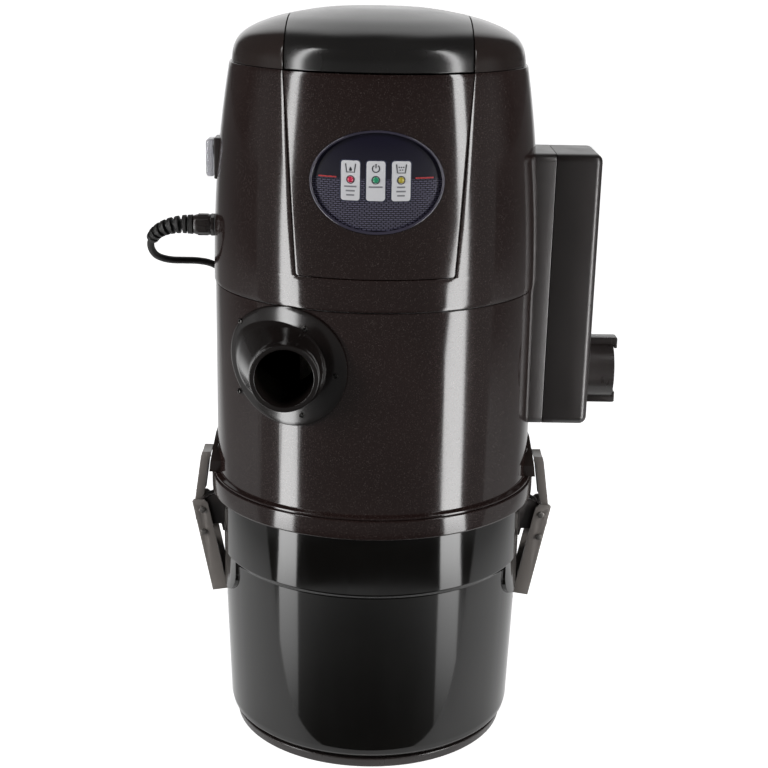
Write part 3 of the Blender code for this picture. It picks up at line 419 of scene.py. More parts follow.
def speckled_black(name):
    """Warm black with fine metal flake under a glossy skin."""
    n = new_material(name)
    base = n.cloudy(9.0, (0.0150, 0.0076, 0.0068), (0.0205, 0.0112, 0.0100))
    bright = n.ramp(n.cells(1500.0).outputs["Color"], 0.74, 0.98, 0.0, 0.55)
    n.set(Base_Color=n.blend(bright, base, (0.105, 0.086, 0.080)))
    n.uneven_gloss(n.noise(1.0, 4.0, 0.6, (30.0, 30.0, 7.0)), 0.085, 0.135)
    n.bump(n.noise(60.0, 3.0), 0.05, 0.0001)
    return n


def latch_grey(name):
    """Grey plastic, lighter along its convex edges, broken up by noise."""
    n = plastic(name, (0.175, 0.158, 0.146), 0.34, 0.07, 0.35, 1100.0, 0.00003, 0.30)
    edge = n.ramp(n.add("ShaderNodeNewGeometry").outputs["Pointiness"], 0.53, 0.60, 0.0, 0.6)
    edge_patches = n.ramp(n.noise(180.0), 0.45, 0.62, 0.2, 1.0)
    n.set(Base_Color=n.blend(n.math("MULTIPLY", edge, edge_patches), n.base(), (0.30, 0.28, 0.26)))
    return n


def copper_wire(name):
    """Rows of varnished winding wire."""
    n = metal(name, (0.60, 0.27, 0.12), 0.32, 400.0, (1.0, 1.0, 1.0))
    wave = n.add("ShaderNodeTexWave", n.place, Scale=260.0, bands_direction="Z")
    n.bump(wave.outputs["Fac"], 0.6, 0.0003)
    return n


def grey_foam(name):
    n = plastic(name, (0.09, 0.09, 0.09), 0.95, 0.03, 0.3)
    n.bump(n.cells(420.0).outputs["Distance"], 0.9, 0.0012)
    return n


def filter_paper(name):
    """Creamy paper with long fibres and a grey dust tide in the valleys."""
    n = new_material(name)
    fibre = n.noise(1.0, 6.0, 0.7, (700.0, 700.0, 160.0))
    paper = n.blend(n.ramp(fibre, 0.3, 0.7, 0.0, 1.0), (0.62, 0.57, 0.46), (0.78, 0.74, 0.64))
    n.set(Base_Color=n.cloudy(22.0, paper, (0.34, 0.31, 0.26), 0.45, 0.75, 0.45), Roughness=0.92)
    n.bump(fibre, 0.5, 0.0002)
    return n


def board_green(name):
    n = plastic(name, (0.02, 0.13, 0.05), 0.35, 0.05, 0.3)
    tracks = n.ramp(n.cells(260.0).outputs["Distance"], 0.45, 0.5, 0.0, 0.6)
    n.set(Base_Color=n.blend(tracks, n.base(), (0.05, 0.24, 0.08)))
    return n


DASHES_PER_METRE = 560.0


def display_navy(name):
    """Gloss navy print; below the middle line it carries rows of short dashes, like a weave."""
    n = new_material(name)
    x, _, z = n.parts()
    across = n.add("ShaderNodeCombineXYZ")
    n.fill(across.inputs["X"], n.math("MULTIPLY", x, DASHES_PER_METRE))
    n.fill(across.inputs["Y"], n.math("MULTIPLY", z, DASHES_PER_METRE))
    brick = n.add("ShaderNodeTexBrick", across.outputs[0], Scale=1.0, offset=0.5, Mortar_Size=0.26,
                  Mortar_Smooth=0.3, Brick_Width=2.3, Row_Height=1.0)
    dashes = n.ramp(brick.outputs["Fac"], 0.2, 0.8, 1.0, 0.0)
    lower = n.ramp(z, WINDOW_Z + 0.001, WINDOW_Z + 0.004, 1.0, 0.0)
    upward = n.ramp(z, WINDOW_Z - 0.04, WINDOW_Z + 0.04, 0.0, 1.0)
    navy = n.blend(upward, (0.0045, 0.0040, 0.0105), (0.010, 0.0085, 0.021))
    n.set(Base_Color=n.blend(n.math("MULTIPLY", dashes, lower), navy, (0.105, 0.098, 0.150)),
          Coat_Weight=1.0, Coat_Roughness=0.05)
    n.uneven_gloss(n.noise(30.0), 0.10, 0.16)
    return n


def clear(name):
    """Clear moulded plastic with flow marks."""
    colour, opacity = CLEARS[name]
    n = plastic(name, colour, 0.16, 0.06, 0.05, 60.0, 0.0001, 0.15)
    n.set(Transmission_Weight=1.0 - opacity, IOR=1.42)
    return n


def lens(name):
    """A small lamp lens, cloudy inside and lit a little from behind."""
    colour = LENS_COLOURS[name]
    n = plastic(name, colour, 0.15, 0.04, 0.2, 600.0, 0.00002, 0.1, coat=0.6)
    n.lit(0.35, colour)
    n.set(Subsurface_Weight=0.2)
    return n


def strip_glow(name):
    """The face of a strip light, fading towards its foot."""
    n = new_material(name)
    n.set(Base_Color=(0.0, 0.0, 0.0))
    n.lit(n.math("MULTIPLY", n.levels(n.parts()["Z"], STRIP_LEVELS), STRIP_RADIANCE))
    return n


def floor_paint(name):
    """A pale gloss sweep, lit from inside along a widening lane behind the vacuum."""
    n = new_material(name)
    cloud = n.ramp(n.noise(0.8, 3.0), 0.3, 0.7, 0.0, 1.0)
    n.set(Base_Color=n.blend(cloud, (0.80, 0.80, 0.80), (0.82, 0.82, 0.82)), Specular_IOR_Level=0.3)
    n.uneven_gloss(n.noise(3.0), 0.45, 0.60)
    x, y, _ = n.parts()
    lane = n.math("MULTIPLY_ADD", y, LANE_SPREAD, LANE_HALF)
    within = n.ramp(n.math("DIVIDE", n.math("ABSOLUTE", x), lane), 1.0, 1.5, 1.0, 0.0)
    behind = n.ramp(y, FLOOR_FRONT_Y, FLOOR_FRONT_Y + 0.03, 0.6, 0.85)
    seen = n.ramp(n.add("ShaderNodeLightPath").outputs["Is Camera Ray"], 0.0, 1.0, 0.55, 1.0)
    n.lit(n.math("MULTIPLY", n.math("MULTIPLY", within, behind), seen))
    return n


# colour, roughness, its spread, tint, the grain's scale, depth and strength, the coat, the specular level
PRINT_SKIN = (0.05, 0.08, 1500.0, 0.00001, 0.2)
PLASTICS = {
    "satin_black": ((0.018, 0.0140, 0.0132), 0.31, 0.07, 0.4, 1300.0, 0.00003, 0.30),
    "cover_black": ((0.012, 0.0112, 0.0108), 0.19, 0.03, 0.4, 900.0, 0.00002, 0.15),
    "port_black": ((0.0080, 0.0060, 0.0055), 0.17, 0.03, 0.4, 900.0, 0.00002, 0.15),
    "gloss_brown_black": ((0.020, 0.0140, 0.0125), 0.13, 0.03, 0.4, 70.0, 0.0001, 0.05),
    "bucket_black": ((0.0026, 0.0022, 0.0017), 0.085, 0.02, 0.5, 45.0, 0.0001, 0.03),
    "textured_black": ((0.0105, 0.0070, 0.0064), 0.36, 0.05, 0.35, 1700.0, 0.00005, 0.45, 0.0, 0.8),
    "black_rubber": ((0.012, 0.0112, 0.0108), 0.55, 0.08, 0.5, 800.0, 0.00005, 0.4, 0.0, 0.4),
    "bezel_grey": ((0.040, 0.036, 0.056), 0.14, 0.04, 0.3, 500.0, 0.00002, 0.1, 0.5),
    "shadow_black": ((0.004, 0.004, 0.004), 0.6, 0.05, 0.2),
    "label_white": ((0.72, 0.72, 0.74), 0.35, *PRINT_SKIN),
    "label_frame": ((0.020, 0.022, 0.050), 0.3, *PRINT_SKIN),
    "ink_dark": ((0.020, 0.020, 0.028), 0.35, *PRINT_SKIN),
    "ink_grey": ((0.22, 0.22, 0.24), 0.35, *PRINT_SKIN),
    "ink_red": ((0.42, 0.018, 0.022), 0.35, *PRINT_SKIN),
}
# colour, roughness, then the marks' scale, stretch and strength
METALS = {
    "pin_steel": ((0.20, 0.19, 0.18), 0.36, 500.0, (1.0, 0.3, 1.0)),
    "bright_steel": ((0.62, 0.61, 0.60), 0.22, 500.0, (1.0, 0.15, 1.0)),
    "dull_steel": ((0.44, 0.44, 0.45), 0.42, 300.0, (1.0, 1.0, 0.2)),
    "cast_aluminium": ((0.68, 0.69, 0.70), 0.42, 700.0, (1.0, 1.0, 1.0), 0.5),
    "brass_pin": ((0.72, 0.62, 0.42), 0.25, 500.0, (0.15, 1.0, 1.0)),
    "screw_black": ((0.05, 0.048, 0.046), 0.30, 900.0, (1.0, 1.0, 1.0)),
}
CLEARS = {"clear_silicone": ((0.80, 0.80, 0.83), 0.25), "clear_plastic": ((0.86, 0.86, 0.88), 0.35)}
LENS_COLOURS = {"lens_red": (0.45, 0.012, 0.05), "lens_green": (0.012, 0.20, 0.10),
                "lens_amber": (0.36, 0.27, 0.03)}
SPECIAL = {make.__name__: make for make in (speckled_black, latch_grey, copper_wire, grey_foam, filter_paper,
                                            board_green, display_navy, strip_glow, floor_paint)}
MATERIALS = {}


def make_material(kind):
    if kind in PLASTICS:
        return plastic(kind, *PLASTICS[kind])
    if kind in METALS:
        return metal(kind, *METALS[kind])
    if kind in CLEARS:
        return clear(kind)
    if kind in LENS_COLOURS:
        return lens(kind)
    return SPECIAL[kind](kind)


def paint(obj, kind):
    if kind not in MATERIALS:
        MATERIALS[kind] = make_material(kind).owner
    obj.data.materials.clear()
    obj.data.materials.append(MATERIALS[kind])


def put(obj, kind, nodes=(), body="head", angle=32):
    """Paints a new piece, makes it ride on its body and stand for its CAD nodes."""
    if obj.type == "MESH":
        shade(obj, angle)
    paint(obj, kind)
    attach(obj, body)
    if nodes:
        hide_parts(*nodes)
    return obj


# ---------------------------------------------------------------- camera
CAMERA_PLACE = Vector((0.0, -1.4436, 0.7558))
CAMERA_FORWARD = Vector((0.0067, 0.9613, -0.2756))
CAMERA_RIGHT = Vector((0.9998, -0.0019, 0.0175))
CAMERA_LENS = 72.2


def make_camera():
    data = bpy.data.cameras.new("camera")
    camera = link_object("camera", data)
    data.lens = CAMERA_LENS
    data.sensor_width = 36.0
    data.clip_start = 0.05
    data.clip_end = 100.0
    back = -CAMERA_FORWARD.normalized()
    right = (CAMERA_RIGHT - back * CAMERA_RIGHT.dot(back)).normalized()
    up = back.cross(right)
    camera.matrix_world = Matrix.Translation(CAMERA_PLACE) @ Matrix((right, up, back)).transposed().to_4x4()
    bpy.context.scene.camera = camera


# ---------------------------------------------------------------- power cord
STRAIN_ROUTE = [(-0.1737, 0.0040, 0.4955), (-0.1850, 0.0042, 0.4953), (-0.1955, 0.0058, 0.4932),
                (-0.2043, 0.0088, 0.4895), (-0.2110, 0.0133, 0.4843), (-0.2155, 0.0192, 0.4779)]
CORD_ROUTE = [(-0.2158, 0.0198, 0.4772), (-0.2175, 0.0242, 0.4720), (-0.2174, 0.0304, 0.4655),
              (-0.2150, 0.0380, 0.4590), (-0.2100, 0.0475, 0.4538), (-0.2015, 0.0595, 0.4495),
              (-0.1910, 0.0720, 0.4468), (-0.1795, 0.0845, 0.4440), (-0.1685, 0.0965, 0.4395),
              (-0.1585, 0.1075, 0.4315), (-0.1495, 0.1170, 0.4190), (-0.1420, 0.1250, 0.4010),
              (-0.1360, 0.1310, 0.3740), (-0.1320, 0.1345, 0.3350), (-0.1295, 0.1370, 0.2850),
              (-0.1275, 0.1390, 0.2300), (-0.1260, 0.1410, 0.1800), (-0.1240, 0.1440, 0.1320),
              (-0.1215, 0.1485, 0.0900), (-0.1170, 0.1550, 0.0530), (-0.1080, 0.1630, 0.0250),
              (-0.0940, 0.1710, 0.0095), (-0.0760, 0.1768, 0.0042), (-0.0550, 0.1795, 0.0038),
              (-0.0310, 0.1800, 0.0038), (-0.0085, 0.1800, 0.0038)]
PLUG_LEAD_X = COIL_CENTRE[0] - 0.0275
PLUG_Y = COIL_CENTRE[1] + COIL_RADIUS + CORD_RADIUS
PLUG_Z = 0.0122
COIL_TURNS = 4.5


def smooth_curve(route, parts=8):
    """A Catmull-Rom curve through the points."""
    points = [Vector(p) for p in route]
    padded = [2 * points[0] - points[1]] + points + [2 * points[-1] - points[-2]]
    found = []
    for a, b, c, d in zip(padded, padded[1:], padded[2:], padded[3:]):
        for i in range(parts):
            t = i / parts
            found.append(0.5 * (2 * b + (c - a) * t + (2 * a - 5 * b + 4 * c - d) * t * t
                                + (3 * b - a - 3 * c + d) * t ** 3))
    return found + [points[-1]]


def ease(value, low, high):
    t = min(1.0, max(0.0, (value - low) / (high - low)))
    return t * t * (3 - 2 * t)


def coil_points(per_turn=36):
    """The stored turns: out and in on each layer, each change of place made before the next strand's."""
    moves = ((300, -1, 0), (600, 0, 1), (900, 1, 0), (1200, 0, 1))   # degrees, steps outwards, steps up
    found = []
    count = round(COIL_TURNS * per_turn)
    for i in range(1, count + 1):
        turn = 360.0 * COIL_TURNS * i / count
        place, layer = 1.0, 0.0
        for start, outward, up in moves:
            share = ease(turn, start, start + 60)
            place += 2 * outward * share
            layer += up * share
        radius = COIL_RADIUS + STRAND_STEP * place
        angle = math.radians(turn - 90)
        x, y = COIL_CENTRE
        found.append(Vector((x + radius * math.cos(angle), y + radius * math.sin(angle),
                             LEAD_Z + LAYER_STEP * layer)))
    return found


def cord_line():
    line = [Vector((GLAND_END_X, *GLAND))] + smooth_curve(STRAIN_ROUTE + CORD_ROUTE[1:], 6)
    start = Vector((COIL_CENTRE[0], COIL_CENTRE[1] - COIL_RADIUS - STRAND_STEP, LEAD_Z))
    line += [line[-1].lerp(start, 0.5), start]
    line += coil_points()
    top = line[-1]
    end = Vector((PLUG_LEAD_X - 0.0040, PLUG_Y, PLUG_Z - 0.0008))
    for t in (0.2, 0.4, 0.6, 0.8, 1.0):
        point = top.lerp(end, t)
        point.z = top.z + (end.z - top.z) * ease(t, 0.0, 1.0)
        line.append(point)
    return line


def ribbon_rings(line, radii, sides):
    """Rings of points square to a line, with the radius given for each point."""
    rows = []
    up = Vector((0, 0, 1))
    for i, point in enumerate(line):
        along = (line[min(i + 1, len(line) - 1)] - line[max(i - 1, 0)]).normalized()
        side = along.cross(up).normalized()
        top = side.cross(along).normalized()
        rows.append([point + radii[i] * (side * c + top * s) for c, s in circle(sides)])
    return rows


RELIEF_RIBS = 7
RELIEF_SLEEVE = 0.10         # share of the boot that is a plain sleeve


def make_strain_relief():
    """The slotted boot: a plain sleeve, then ribs that shrink along it, with the core seen between them."""
    line = smooth_curve(STRAIN_ROUTE, 44)
    lengths = [0.0]
    for a, b in zip(line, line[1:]):
        lengths.append(lengths[-1] + (b - a).length)
    radii = []
    for share in [length / lengths[-1] for length in lengths]:
        outer, core = 0.0093 - 0.0034 * share, 0.0052 - 0.0008 * share
        phase = (share - RELIEF_SLEEVE) / (1 - RELIEF_SLEEVE) * RELIEF_RIBS % 1.0
        wave = ease(phase, 0.06, 0.20) * (1 - ease(phase, 0.66, 0.80))
        radii.append(outer if share < RELIEF_SLEEVE else core + (outer - core) * wave)
    radii[0] *= 0.9
    radii[-1] = 0.0040
    relief = surface("strain_relief_ribbed", ribbon_rings(line, radii, 40), round_columns=True, caps=True)
    return put(relief, "black_rubber", ["strain_relief"], angle=60)


def make_plug():
    """A moulded plug: waisted grip with ribs, round lead-in, two blades and an earth pin."""
    sections = [(0.0, 0.0048, 0.0048), (-0.0040, 0.0052, 0.0052), (-0.0130, 0.0062, 0.0060),
                (-0.0215, 0.0074, 0.0068), (-0.0235, 0.0105, 0.0095), (-0.0260, 0.0122, 0.0114),
                (-0.0300, 0.0125, 0.0118), (-0.0400, 0.0112, 0.0108), (-0.0480, 0.0116, 0.0112),
                (-0.0530, 0.0125, 0.0118), (-0.0558, 0.0124, 0.0117), (-0.0570, 0.0116, 0.0109)]
    rows = []
    for along, half_width, half_height in smooth_curve(sections, 5):
        power = 2.0 / (2.0 if along > -0.022 else 3.4)
        rows.append([(PLUG_LEAD_X + along, PLUG_Y + half_width * math.copysign(abs(c) ** power, c),
                      PLUG_Z + half_height * math.copysign(abs(s) ** power, s)) for c, s in circle(56)])
    body = surface("plug_body", rows, round_columns=True, caps=True)
    put(body, "black_rubber", ["plug"], angle=40)
    front = PLUG_LEAD_X - 0.0570
    pins = []
    outline = rounded_rectangle((front - 0.0180, PLUG_Z - 0.0045), (front + 0.002, PLUG_Z + 0.0020), 0.0016)
    for offset in (-0.0064, 0.0064):
        pins.append(prism("blade", outline, PLUG_Y + offset - 0.0008, PLUG_Y + offset + 0.0008, "Y", 0.0003))
    profile = soften([(0.0001, front - 0.0210), (0.0024, front - 0.0210), (0.0024, front + 0.002),
                      (0.0001, front + 0.002)], 0.0016, 4)
    pins.append(turned("earth", profile, steps=32, axis="X", centre=(PLUG_Y, PLUG_Z + 0.0065)))
    blades = put(merge_objects("plug_blades", pins), "brass_pin")
    return body, blades


def make_tie():
    """A strap round the coil's bundle, on its far side from the plug."""
    angle = math.radians(-20)
    out = Vector((math.cos(angle), math.sin(angle), 0))
    along = Vector((-out.y, out.x, 0))
    centre = Vector((*COIL_CENTRE, 0.0110)) + out * COIL_RADIUS
    rows = []
    for k in range(13):
        offset = -0.004 + 0.008 * k / 12
        rows.append([centre + along * offset + out * u + Vector((0, 0, v))
                     for u, v in rounded_rectangle((-0.0084, -0.0107), (0.0084, 0.0116), 0.0035, 5)])
    band = surface("cord_tie", rows, round_columns=True)
    thicken(band, 0.0008, 0.0002, 2, 60, outward=0.5)
    return put(band, "satin_black")


def make_cord():
    line = cord_line()
    curve = bpy.data.curves.new("power_cord", "CURVE")
    curve.dimensions = "3D"
    curve.bevel_depth = CORD_RADIUS
    curve.bevel_resolution = 6
    curve.use_fill_caps = True
    spline = curve.splines.new("POLY")
    spline.points.add(len(line) - 1)
    for point, place in zip(spline.points, line):
        point.co = (*place, 1)
    cord = link_object("power_cord", curve)
    put(cord, "black_rubber", ["cord", "cord_coil"])
    relief = make_strain_relief()
    plug, blades = make_plug()
    tie = make_tie()


# ---------------------------------------------------------------- casing of the head
def housing_radius(z):
    share = max(0.0, (z - MID_SEAM) / (CAP_SEAM - MID_SEAM))
    return WAIST_RADIUS - (WAIST_RADIUS - SHOULDER_RADIUS) * share ** 2.2


def on_housing(x, z, out=0.0):
    """The point of the upper housing's front at a distance across and a height."""
    radius = housing_radius(z) + out
    return Vector((x, -math.sqrt(max(0.0, radius ** 2 - x ** 2)), z))


def around_housing(azimuth, z, out=0.0):
    radius = housing_radius(z) + out
    return Vector((radius * math.sin(azimuth), -radius * math.cos(azimuth), z))


def panel_half(z, grow):
    """Half the panel's width at a height, with its two lower corners rounded."""
    bottom = PANEL_BOTTOM - grow
    share = (z - PANEL_BOTTOM) / (PANEL_TOP - PANEL_BOTTOM)
    half = PANEL_LOW_HALF + (STRIP_HALF - PANEL_LOW_HALF) * share + grow
    rise = min(PANEL_CORNER, max(0.0, z - bottom))
    return half - PANEL_CORNER + math.sqrt(max(0.0, PANEL_CORNER ** 2 - (PANEL_CORNER - rise) ** 2))


def panel_levels(bottom, top):
    corner = [bottom + PANEL_CORNER * (1 - math.cos(math.pi / 2 * k / 8)) for k in range(9)]
    return corner + [corner[-1] + (top - corner[-1]) * k / 44 for k in range(1, 45)]


def make_upper_housing():
    """One shell, open where the front panel sits."""
    grow = 0.0006
    bottom, top, low = PANEL_BOTTOM - grow, CAP_SEAM - GAP, MID_SEAM + 0.0005
    columns, front = 150, 60
    upper = []
    for z in panel_levels(bottom, top):
        edge = math.asin(panel_half(z, grow) / housing_radius(z))
        span = math.tau - 2 * edge
        upper.append([around_housing(edge + span * k / columns, z) for k in range(columns + 1)])
    edge = math.asin(panel_half(bottom, grow) / housing_radius(bottom))
    span = math.tau - 2 * edge
    lower = []
    for k in range(9):
        z = low + (bottom - low) * k / 8
        row = [around_housing(edge + span * i / columns, z) for i in range(columns + 1)]
        row += [around_housing(-edge + 2 * edge * i / front, z) for i in range(1, front)]
        lower.append(row)
    first = surface("upper part", upper)
    second = surface("lower part", lower, round_columns=True)
    shell = merge_objects("upper_housing_shell", [first, second])
    clean(shell.data, 0.00001)
    thicken(shell, WALL, 0.0006)
    return put(shell, "speckled_black", ["upper_housing"])


def make_front_panel():
    grow = -0.0003
    rows = []
    for z in panel_levels(PANEL_BOTTOM - grow, PANEL_TOP + grow):
        angle = math.asin(panel_half(z, grow) / housing_radius(z))
        rows.append([around_housing(-angle + 2 * angle * k / 90, z) for k in range(91)])
    panel = surface("front_panel_shell", rows)
    if sum(p.normal.y for p in panel.data.polygons) > 0:
        panel.data.flip_normals()
    thicken(panel, WALL, 0.0006)
    hole = prism("window hole", ellipse((0, WINDOW_Z), *WINDOW_HALF, 128), -0.20, -0.05, "Y")
    boolean(panel, hole)
    return put(panel, "speckled_black", ["front_panel"])


def make_display():
    """The raised bezel ring, the printed plate and the lamps, cards and marks on it."""
    half_width, half_height = WINDOW_HALF
    section = soften([(GAP, -0.0060), (GAP, 0.0006), (0.0009, 0.0011), (0.0019, 0.0010), (0.0026, 0.0002),
                      (0.0026, -0.0060)], 0.0005, 4)
    rows = [[on_housing((half_width - inset) * c, WINDOW_Z + (half_height - inset) * s, out)
             for inset, out in section] for c, s in circle(160)]
    ring = surface("display_bezel_ring", rows, round_rows=True, round_columns=True)
    put(ring, "bezel_grey", ["display_bezel"])
    outline = ellipse((0, WINDOW_Z), half_width - 0.0028, half_height - 0.0028, 128)
    plate = patch("display_plate_print", outline, -0.0006, 0.0018, 14)
    put(plate, "display_navy", ["display_plate"])
    make_cards()


def on_plate(x, z, out=0.0):
    """The display's surface: level with the housing in the middle and falling away to its rim."""
    fall = (x / WINDOW_HALF[0]) ** 2 + ((z - WINDOW_Z) / WINDOW_HALF[1]) ** 2
    return on_housing(x, z, out - PLATE_FALL * fall)


def patch(name, outline, out, depth, rings=6):
    """A piece of the housing's skin inside an outline, with a thin wall behind it."""
    middle = sum((Vector(p) for p in outline), Vector((0, 0))) / len(outline)
    rows = [[on_plate(*(middle + (Vector(p) - middle) * k / rings), out) for p in outline]
            for k in range(rings + 1)]
    rows.append([on_plate(*p, out - depth) for p in outline])
    back = [on_plate(*middle, out - depth)] * len(outline)
    return surface(name, rows + [back], round_columns=True)


def stroke(name, points, width, out=0.0004, depth=0.0003):
    """A thin raised line on the skin along a short path in x and z."""
    rows = []
    path = [Vector(p) for p in points]
    for i, point in enumerate(path):
        along = (path[min(i + 1, len(path) - 1)] - path[max(i - 1, 0)]).normalized()
        side = Vector((-along.y, along.x)) * width / 2
        a, b = point + side, point - side
        rows.append([on_plate(*p, h) for p, h in ((a, out), (b, out), (b, out - depth), (a, out - depth))])
    return surface(name, rows, round_columns=True, caps=True)


def drop_outline(centre, size):
    """A water drop: a round foot and a pointed top."""
    found = arc((centre[0], centre[1] - size * 0.25), size * 0.5, 150, 390, 18)
    return found + [(centre[0], centre[1] + size * 0.85)]


def pail_outline(name, centre):
    """An open pail in outline: two sides that lean in and a flat bottom."""
    x, z = centre
    shape = ((-0.0042, 0.0036), (-0.0033, -0.0034), (0.0033, -0.0034), (0.0042, 0.0036))
    return stroke(name, [(x + dx, z + dz) for dx, dz in shape], 0.0009)


CARD_Z = (0.5454, 0.5787)
CARD_HALF = 0.0080
CARD_CORNER = 0.0024
CARD_FRAME = 0.0010
LAMP_Z = WINDOW_Z + 0.0025
BAR_HALVES = ((0.0052, 0.0038, 0.0034), (0.0058,), (0.0034, 0.0040, 0.0032))
GRAINS = ((-0.0019, 0.0012), (0.0, 0.0012), (0.0019, 0.0012), (-0.0010, -0.0010), (0.0010, -0.0010))
RULE_Z = 0.5645
RULES = {"red left": (-0.0500, -0.0425, -0.0345), "red right": (0.0325, 0.0400, 0.0480)}


def card_symbol(index, x, z):
    """A drop in a pail, a power sign, or a pail of grains."""
    if index == 0:
        return [pail_outline("tank", (x, z)),
                patch("drop", drop_outline((x, z - 0.0008), 0.0023), 0.0004, 0.0003, 3)]
    if index == 1:
        return [stroke("power ring", arc((x, z), 0.0030, 125, 415, 24), 0.0008),
                stroke("power bar", [(x, z + 0.0005), (x, z + 0.0040)], 0.0008)]
    return [pail_outline("basket", (x, z))] + [
        stroke(f"grain {dx} {dz}", [(x + dx, z + dz - 0.0005), (x + dx, z + dz + 0.0005)], 0.0010)
        for dx, dz in GRAINS]


def lamp_dome(name, x):
    foot = on_plate(x, LAMP_Z, -GAP)
    out = Vector((foot.x, foot.y, 0)).normalized()
    side, up = Vector((-out.y, out.x, 0)), Vector((0, 0, 1))
    profile = soften([(0.0026, 0.0), (0.0026, 0.0009), (0.0018, 0.0019), (0.0001, 0.0022)], 0.0010, 5, False)
    rings = [[foot + out * h + r * (side * c + up * s) for c, s in circle(40)] for r, h in profile]
    return surface(name, rings, round_columns=True, caps=True)


def make_cards():
    """Three white cards, each with a generic symbol, a lamp and bars in place of words."""
    frames, cards, marks, bars = [], [], [], []
    low, high = CARD_Z
    places = zip(LENS_X, ("left", "middle", "right"), ("lens_red", "lens_green", "lens_amber"))
    for index, (x, word, kind) in enumerate(places):
        half = CARD_HALF + CARD_FRAME
        frame_edge = rounded_rectangle((x - half, low - 0.0009), (x + half, high + 0.0009), 0.0030)
        frames.append(patch(f"card frame {index}", frame_edge, -0.0001, 0.0009))
        card = rounded_rectangle((x - CARD_HALF, low), (x + CARD_HALF, high), CARD_CORNER)
        cards.append(patch(f"card {index}", card, 0.0002, 0.0009))
        marks += card_symbol(index, x, high - 0.0062)
        marks.append(stroke(f"lamp ring {index}", arc((x, LAMP_Z), 0.0032, 0, 360, 32), 0.0007))
        for row, half in enumerate(BAR_HALVES[index]):
            z = low + 0.0118 - 0.0036 * row
            bars.append(stroke(f"bar {index} {row}", [(x - half, z), (x, z), (x + half, z)], 0.0013))
        put(lamp_dome(f"lamp_{word}", x), kind, ["indicator_lens_" + word], angle=60)
    rules = [stroke(name, [(x, RULE_Z) for x in row], 0.0011, -0.0003, 0.0002) for name, row in RULES.items()]
    prints = (("card_frames", frames, "label_frame"), ("indicator_cards", cards, "label_white"),
              ("card_symbols", marks, "ink_dark"), ("card_bars", bars, "ink_grey"),
              ("display_lines", rules, "ink_red"))
    for name, pieces, kind in prints:
        put(merge_objects(name, pieces), kind)


def dome_height(radius):
    """Height of the cap's outer surface at a distance from the axis."""
    for (r0, z0), (r1, z1) in zip(DOME, DOME[1:]):
        if radius <= r1:
            return z0 + (z1 - z0) * (radius - r0) / max(1e-9, r1 - r0)
    return DOME[-1][1]


DOME_GUIDE = [(0, TOP_HEIGHT, 0), (0.045, 0.6988, 0), (0.085, 0.6922, 0), (0.108, 0.6850, 0),
              (0.122, 0.6778, 0), (0.1295, 0.6705, 0), (0.1333, 0.6620, 0), (CAP_RADIUS, CAP_SEAM, 0)]
DOME = [(p.x, p.y) for p in smooth_curve(DOME_GUIDE, 12)]


def dome_section(start):
    """Outer profile points from a distance out to the seam."""
    return [(start, dome_height(start))] + [p for p in DOME if p[0] > start + 0.0008]


def even(points, count):
    """The same line with evenly spaced points."""
    lengths = [0.0]
    for a, b in zip(points, points[1:]):
        lengths.append(lengths[-1] + math.dist(a, b))
    found = []
    k = 0
    for i in range(count + 1):
        due = lengths[-1] * i / count
        while k < len(points) - 2 and lengths[k + 1] < due:
            k += 1
        share = (due - lengths[k]) / max(1e-12, lengths[k + 1] - lengths[k])
        found.append(tuple(a + (b - a) * share for a, b in zip(points[k], points[k + 1])))
    return found


def make_top_cover():
    """The centre strip of the dome, from the front seam over the crown to the back."""
    half = STRIP_HALF - 0.0004
    rows = []
    for i in range(61):
        x = -half + 2 * half * i / 60
        section = even(dome_section(abs(x)), 60)
        front = [(x, -math.sqrt(max(0.0, r * r - x * x)), z) for r, z in reversed(section)]
        back = [(x, math.sqrt(max(0.0, r * r - x * x)), z) for r, z in section[1:]]
        rows.append(front + back)
    cover = surface("top_cover_shell", rows)
    face_out(cover)
    thicken(cover, WALL, 0.0009, 4)
    return put(cover, "cover_black", ["top_cover"])


def face_out(obj):
    """Turns an open sheet so that its faces point away from the vacuum's middle."""
    middle = Vector((0, 0, 0.45))
    total = sum((Vector(p.center) - middle).dot(p.normal) * p.area for p in obj.data.polygons)
    if total < 0:
        obj.data.flip_normals()


def make_shoulder_caps():
    start = STRIP_HALF + 0.0004
    for word, side in (("left", -1), ("right", 1)):
        widest = math.acos(start / CAP_RADIUS)
        rows = []
        for i in range(61):
            angle = -widest * 0.995 + 2 * widest * 0.995 * i / 60
            section = even(dome_section(start / math.cos(angle)), 44)
            rows.append([(side * r * math.cos(angle), r * math.sin(angle), z) for r, z in section])
        cap = surface(f"shoulder_cap_{word}_shell", rows)
        face_out(cap)
        thicken(cap, WALL, 0.0009, 4)
        put(cap, "gloss_brown_black", [f"shoulder_cap_{word}"])


def make_lower_housing():
    top = MID_SEAM - 0.0008
    bottom = COLLAR_TOP + GAP
    inside = LOWER_RADIUS - WALL
    profile = [(LOWER_RADIUS, top), (LOWER_RADIUS, bottom + 0.0036),
               (FLANGE_RADIUS - 0.0006, bottom + 0.0024),
               (FLANGE_RADIUS, bottom + 0.0018), (FLANGE_RADIUS, bottom), (inside, bottom),
               (inside, top - 0.0060), (0.1380, top - 0.0040), (0.1380, top)]
    shell = turned("lower_housing_shell", soften(profile, 0.0007, 4))
    x, z = INLET
    hole = prism("inlet hole", arc((x, z), INLET_BORE + 0.001, 0, 352.5, 47), -0.19, -0.06, "Y")
    boolean(shell, hole)
    return put(shell, "speckled_black", ["lower_housing"])


